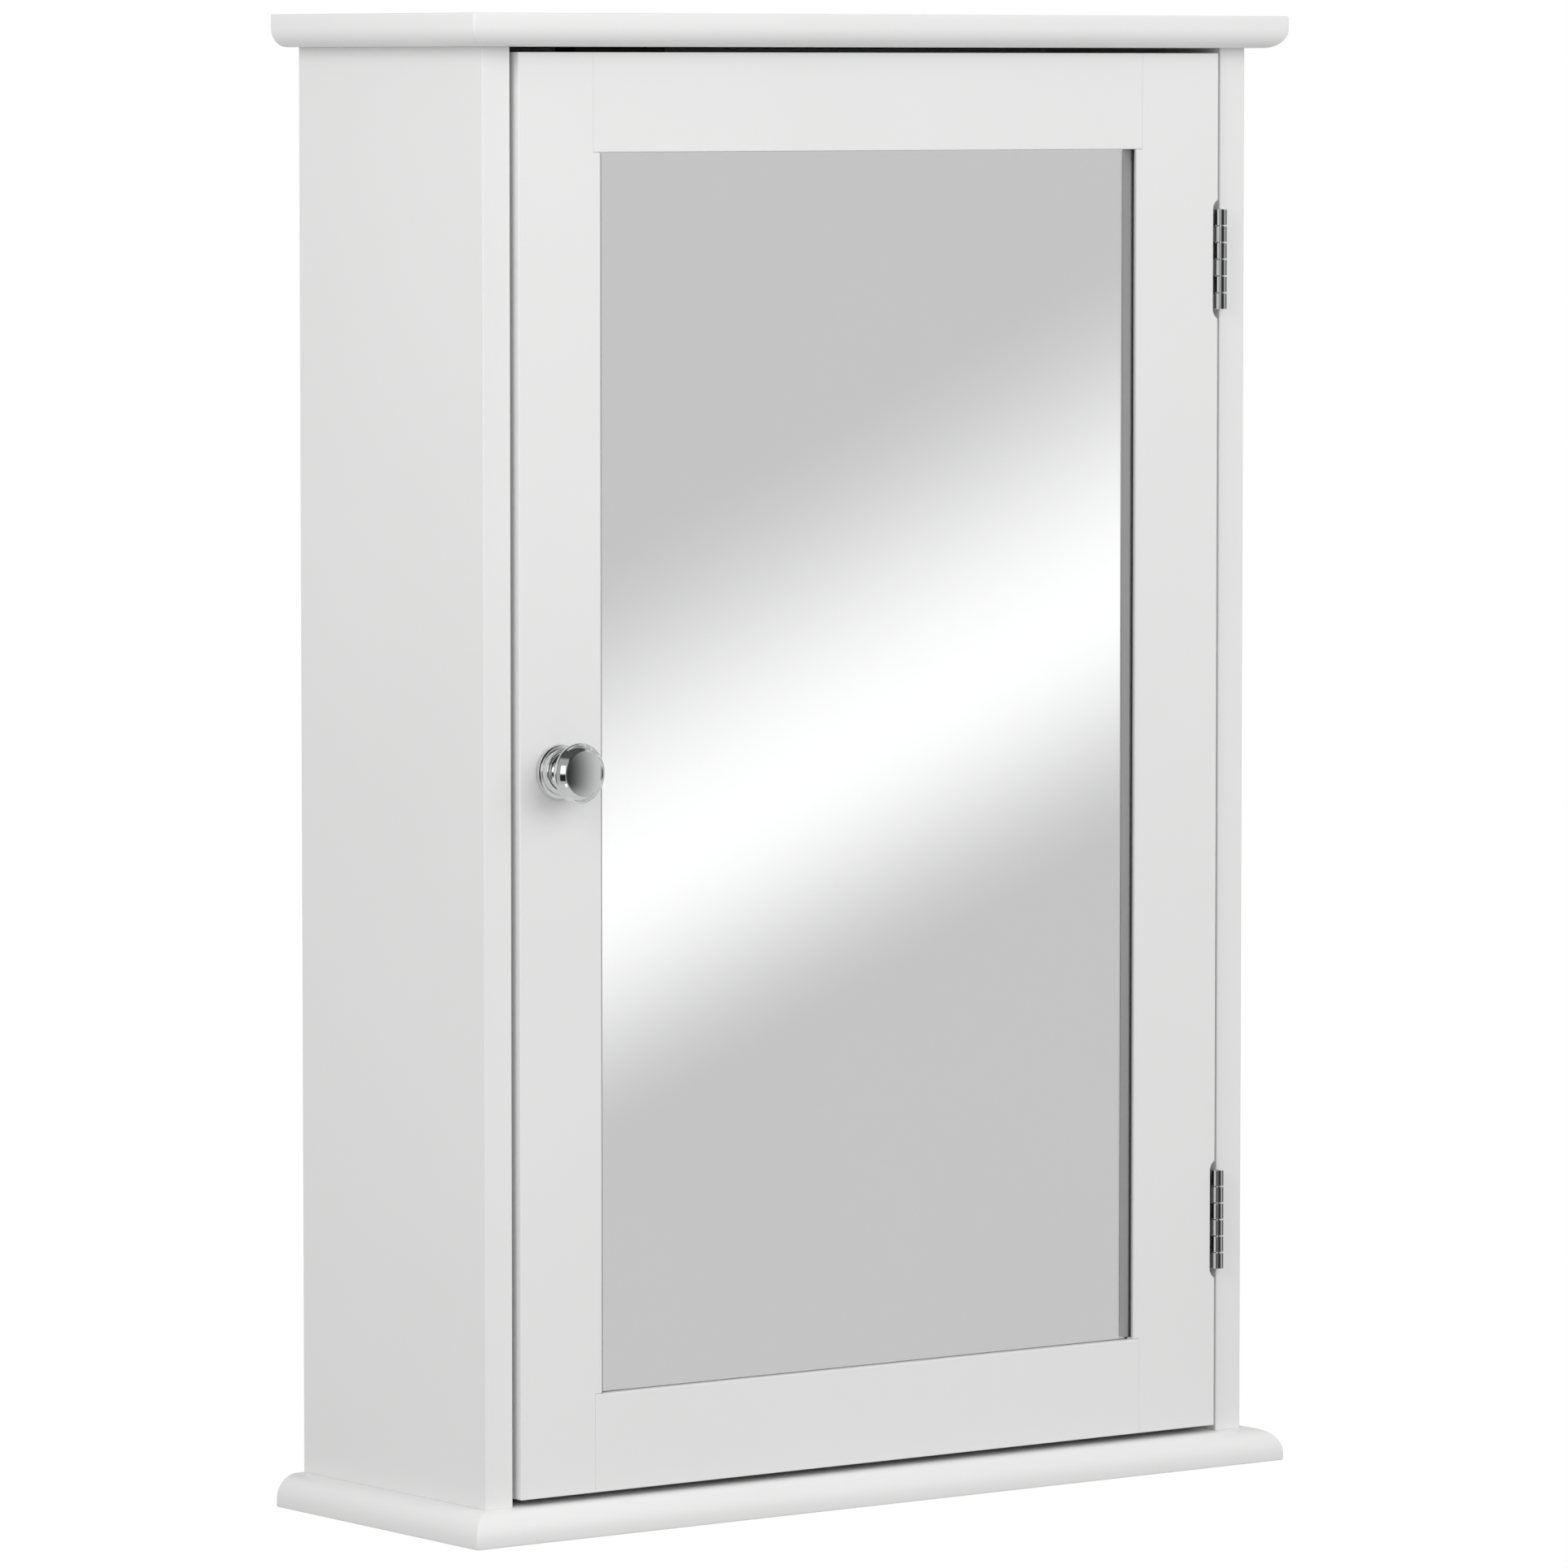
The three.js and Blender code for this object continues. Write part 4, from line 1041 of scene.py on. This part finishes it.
# Levels of the wall and its bands in the mirror, and of the tent.
WALL = 0.62
WALL_BAND = 1.15
TENT_BELOW = 0.395
TENT_ABOVE = 0.575
TENT_LOW, TENT_HIGH = math.radians(-50), math.radians(65)
BAND_TILT = math.radians(30.1)
BANDS_PER_TURN = 15
BAND_START, BAND_PEAK, BAND_END = (math.radians(angle) for angle in (-1.37, -0.03, 1.84))
# Lamps and dark openings: azimuths, elevations and softness in degrees, and the level.
ROOM_WINDOWS = (
    ((-69, -47), (1, 26), 2.0, 1.7),
    ((-72, -46), (-24, -3), 2.5, 0.02),
    ((-52, -42), (-43, -33), 2.0, 1.5),
    ((62, 125), (-10, 2), 3.0, 0.05),
    ((104, 168), (16, 56), 4.0, 0.03),
)


class World:
    """Node helpers for the studio's surroundings."""

    def __init__(self):
        world = bpy.data.worlds.new("studio")
        world.use_nodes = True
        bpy.context.scene.world = world
        self.tree = world.node_tree
        self.tree.nodes.clear()
        self.path = self.tree.nodes.new("ShaderNodeLightPath")
        source = self.tree.nodes.new("ShaderNodeTexCoord")
        parts = self.tree.nodes.new("ShaderNodeSeparateXYZ")
        self.tree.links.new(source.outputs["Generated"], parts.inputs[0])
        x, y, z = parts.outputs
        self.azimuth = self.math("ARCTAN2", x, self.math("MULTIPLY", y, -1.0))
        self.elevation = self.math("ARCSINE", z)

    # Sets each socket to its number, or links it to its output.
    def feed(self, sockets, values):
        for socket, value in zip(sockets, values):
            if isinstance(value, (int, float)):
                socket.default_value = value
            else:
                self.tree.links.new(value, socket)

    def math(self, operation, *values):
        node = self.tree.nodes.new("ShaderNodeMath")
        node.operation = operation
        self.feed(node.inputs, values)
        return node.outputs[0]

    # Smooth step of a value between two limits, from one result to another.
    def step(self, value, start, end, low=0.0, high=1.0):
        node = self.tree.nodes.new("ShaderNodeMapRange")
        node.interpolation_type = "SMOOTHSTEP"
        self.feed(node.inputs, (value, start, end, low, high))
        return node.outputs[0]

    # 1 inside a window of azimuth and elevation in degrees, with soft edges.
    def window(self, azimuths, elevations, soft):
        result = 1.0
        for value, (start, end) in ((self.azimuth, azimuths), (self.elevation, elevations)):
            rise = self.step(value, math.radians(start - soft), math.radians(start + soft))
            fall = self.step(value, math.radians(end - soft), math.radians(end + soft), 1.0, 0.0)
            result = self.math("MULTIPLY", result, self.math("MULTIPLY", rise, fall))
        return result

    def mix(self, factor, first, second):
        node = self.tree.nodes.new("ShaderNodeMix")
        self.feed((node.inputs[0], node.inputs[2], node.inputs[3]), (factor, first, second))
        return node.outputs[0]


# Reflections in the mirror: a grey wall with wide diagonal light bands. One band is placed where the
# mirror shows it at the camera's viewing angle.
def mirrored_wall(world):
    period = 2 * math.pi * math.sin(BAND_TILT) / BANDS_PER_TURN
    across = world.math("ADD", world.azimuth, CAMERA_AZIMUTH)
    above = world.math("ADD", world.elevation, CAMERA_ELEVATION)
    along = world.math("SUBTRACT", world.math("MULTIPLY", above, math.cos(BAND_TILT)),
                       world.math("MULTIPLY", across, math.sin(BAND_TILT)))
    phase = world.math("WRAP", along, period / 2, -period / 2)
    rise = world.step(phase, BAND_START, BAND_PEAK)
    fall = world.step(phase, BAND_PEAK, BAND_END, 1.0, 0.0)
    return world.mix(world.math("MULTIPLY", rise, fall), WALL, WALL_BAND)


# Reflections in polished metal: dark in front, light to the right, with lamps and dark openings.
def polished_room(world):
    elevation = world.elevation
    room = world.step(world.azimuth, math.radians(2), math.radians(66), 0.03, 0.66)
    left = world.step(world.azimuth, math.radians(-44), math.radians(-28), 0.38, 0.0)
    room = world.math("ADD", room, left)
    around = world.step(world.math("ABSOLUTE", world.azimuth), math.radians(88), math.radians(108))
    room = world.mix(around, room, 0.92)
    room = world.mix(world.step(elevation, math.radians(-14), math.radians(-44)), room, 0.6)
    room = world.mix(world.step(elevation, math.radians(-50), math.radians(-62)), room, 0.15)
    room = world.mix(world.step(elevation, math.radians(44), math.radians(56)), room, 0.08)
    for azimuths, elevations, soft, level in ROOM_WINDOWS:
        room = world.mix(world.window(azimuths, elevations, soft), room, level)
    return room


# Painted surfaces are lit by a soft tent. The camera, the mirror and metal each see surroundings of
# their own.
def studio_world():
    world = World()
    tent = world.step(world.elevation, TENT_LOW, TENT_HIGH, TENT_BELOW, TENT_ABOVE)
    through = world.math("GREATER_THAN", world.path.outputs["Transmission Depth"], 0.5)
    reflected = world.mix(through, polished_room(world), mirrored_wall(world))
    is_glossy = world.math("MAXIMUM", world.path.outputs["Is Glossy Ray"],
                           world.path.outputs["Is Transmission Ray"])
    # A ray that has met a painted surface sees the tent, even by way of the mirror.
    is_direct = world.math("LESS_THAN", world.path.outputs["Diffuse Depth"], 0.5)
    light = world.mix(world.math("MULTIPLY", is_glossy, is_direct), tent, reflected)
    seen = world.mix(world.path.outputs["Is Camera Ray"], light, 1.0)

    background = world.tree.nodes.new("ShaderNodeBackground")
    background.inputs["Color"].default_value = (1, 1, 1, 1)
    output = world.tree.nodes.new("ShaderNodeOutputWorld")
    world.tree.links.new(seen, background.inputs["Strength"])
    world.tree.links.new(background.outputs[0], output.inputs["Surface"])


studio_world()

FLOOR_RADIUS = 1.5
FLOOR_FORWARD = 0.07
FLOOR_DROP = 1.2


def studio_floor():
    bm = bmesh.new()
    bmesh.ops.create_circle(bm, cap_ends=True, radius=FLOOR_RADIUS, segments=96)
    floor = add_object("floor", mesh_from("floor", bm))
    floor.location = (0, -FLOOR_FORWARD, cad_bounds[0].z - FLOOR_DROP)
    look = Shader("floor", base=(0.86, 0.86, 0.86), Roughness=0.7)
    look.colour(look.tones(look.noise(look.place(), 2.5), (0.85, 0.85, 0.85), (0.87, 0.87, 0.87)))
    floor.data.materials.append(look.material)


studio_floor()
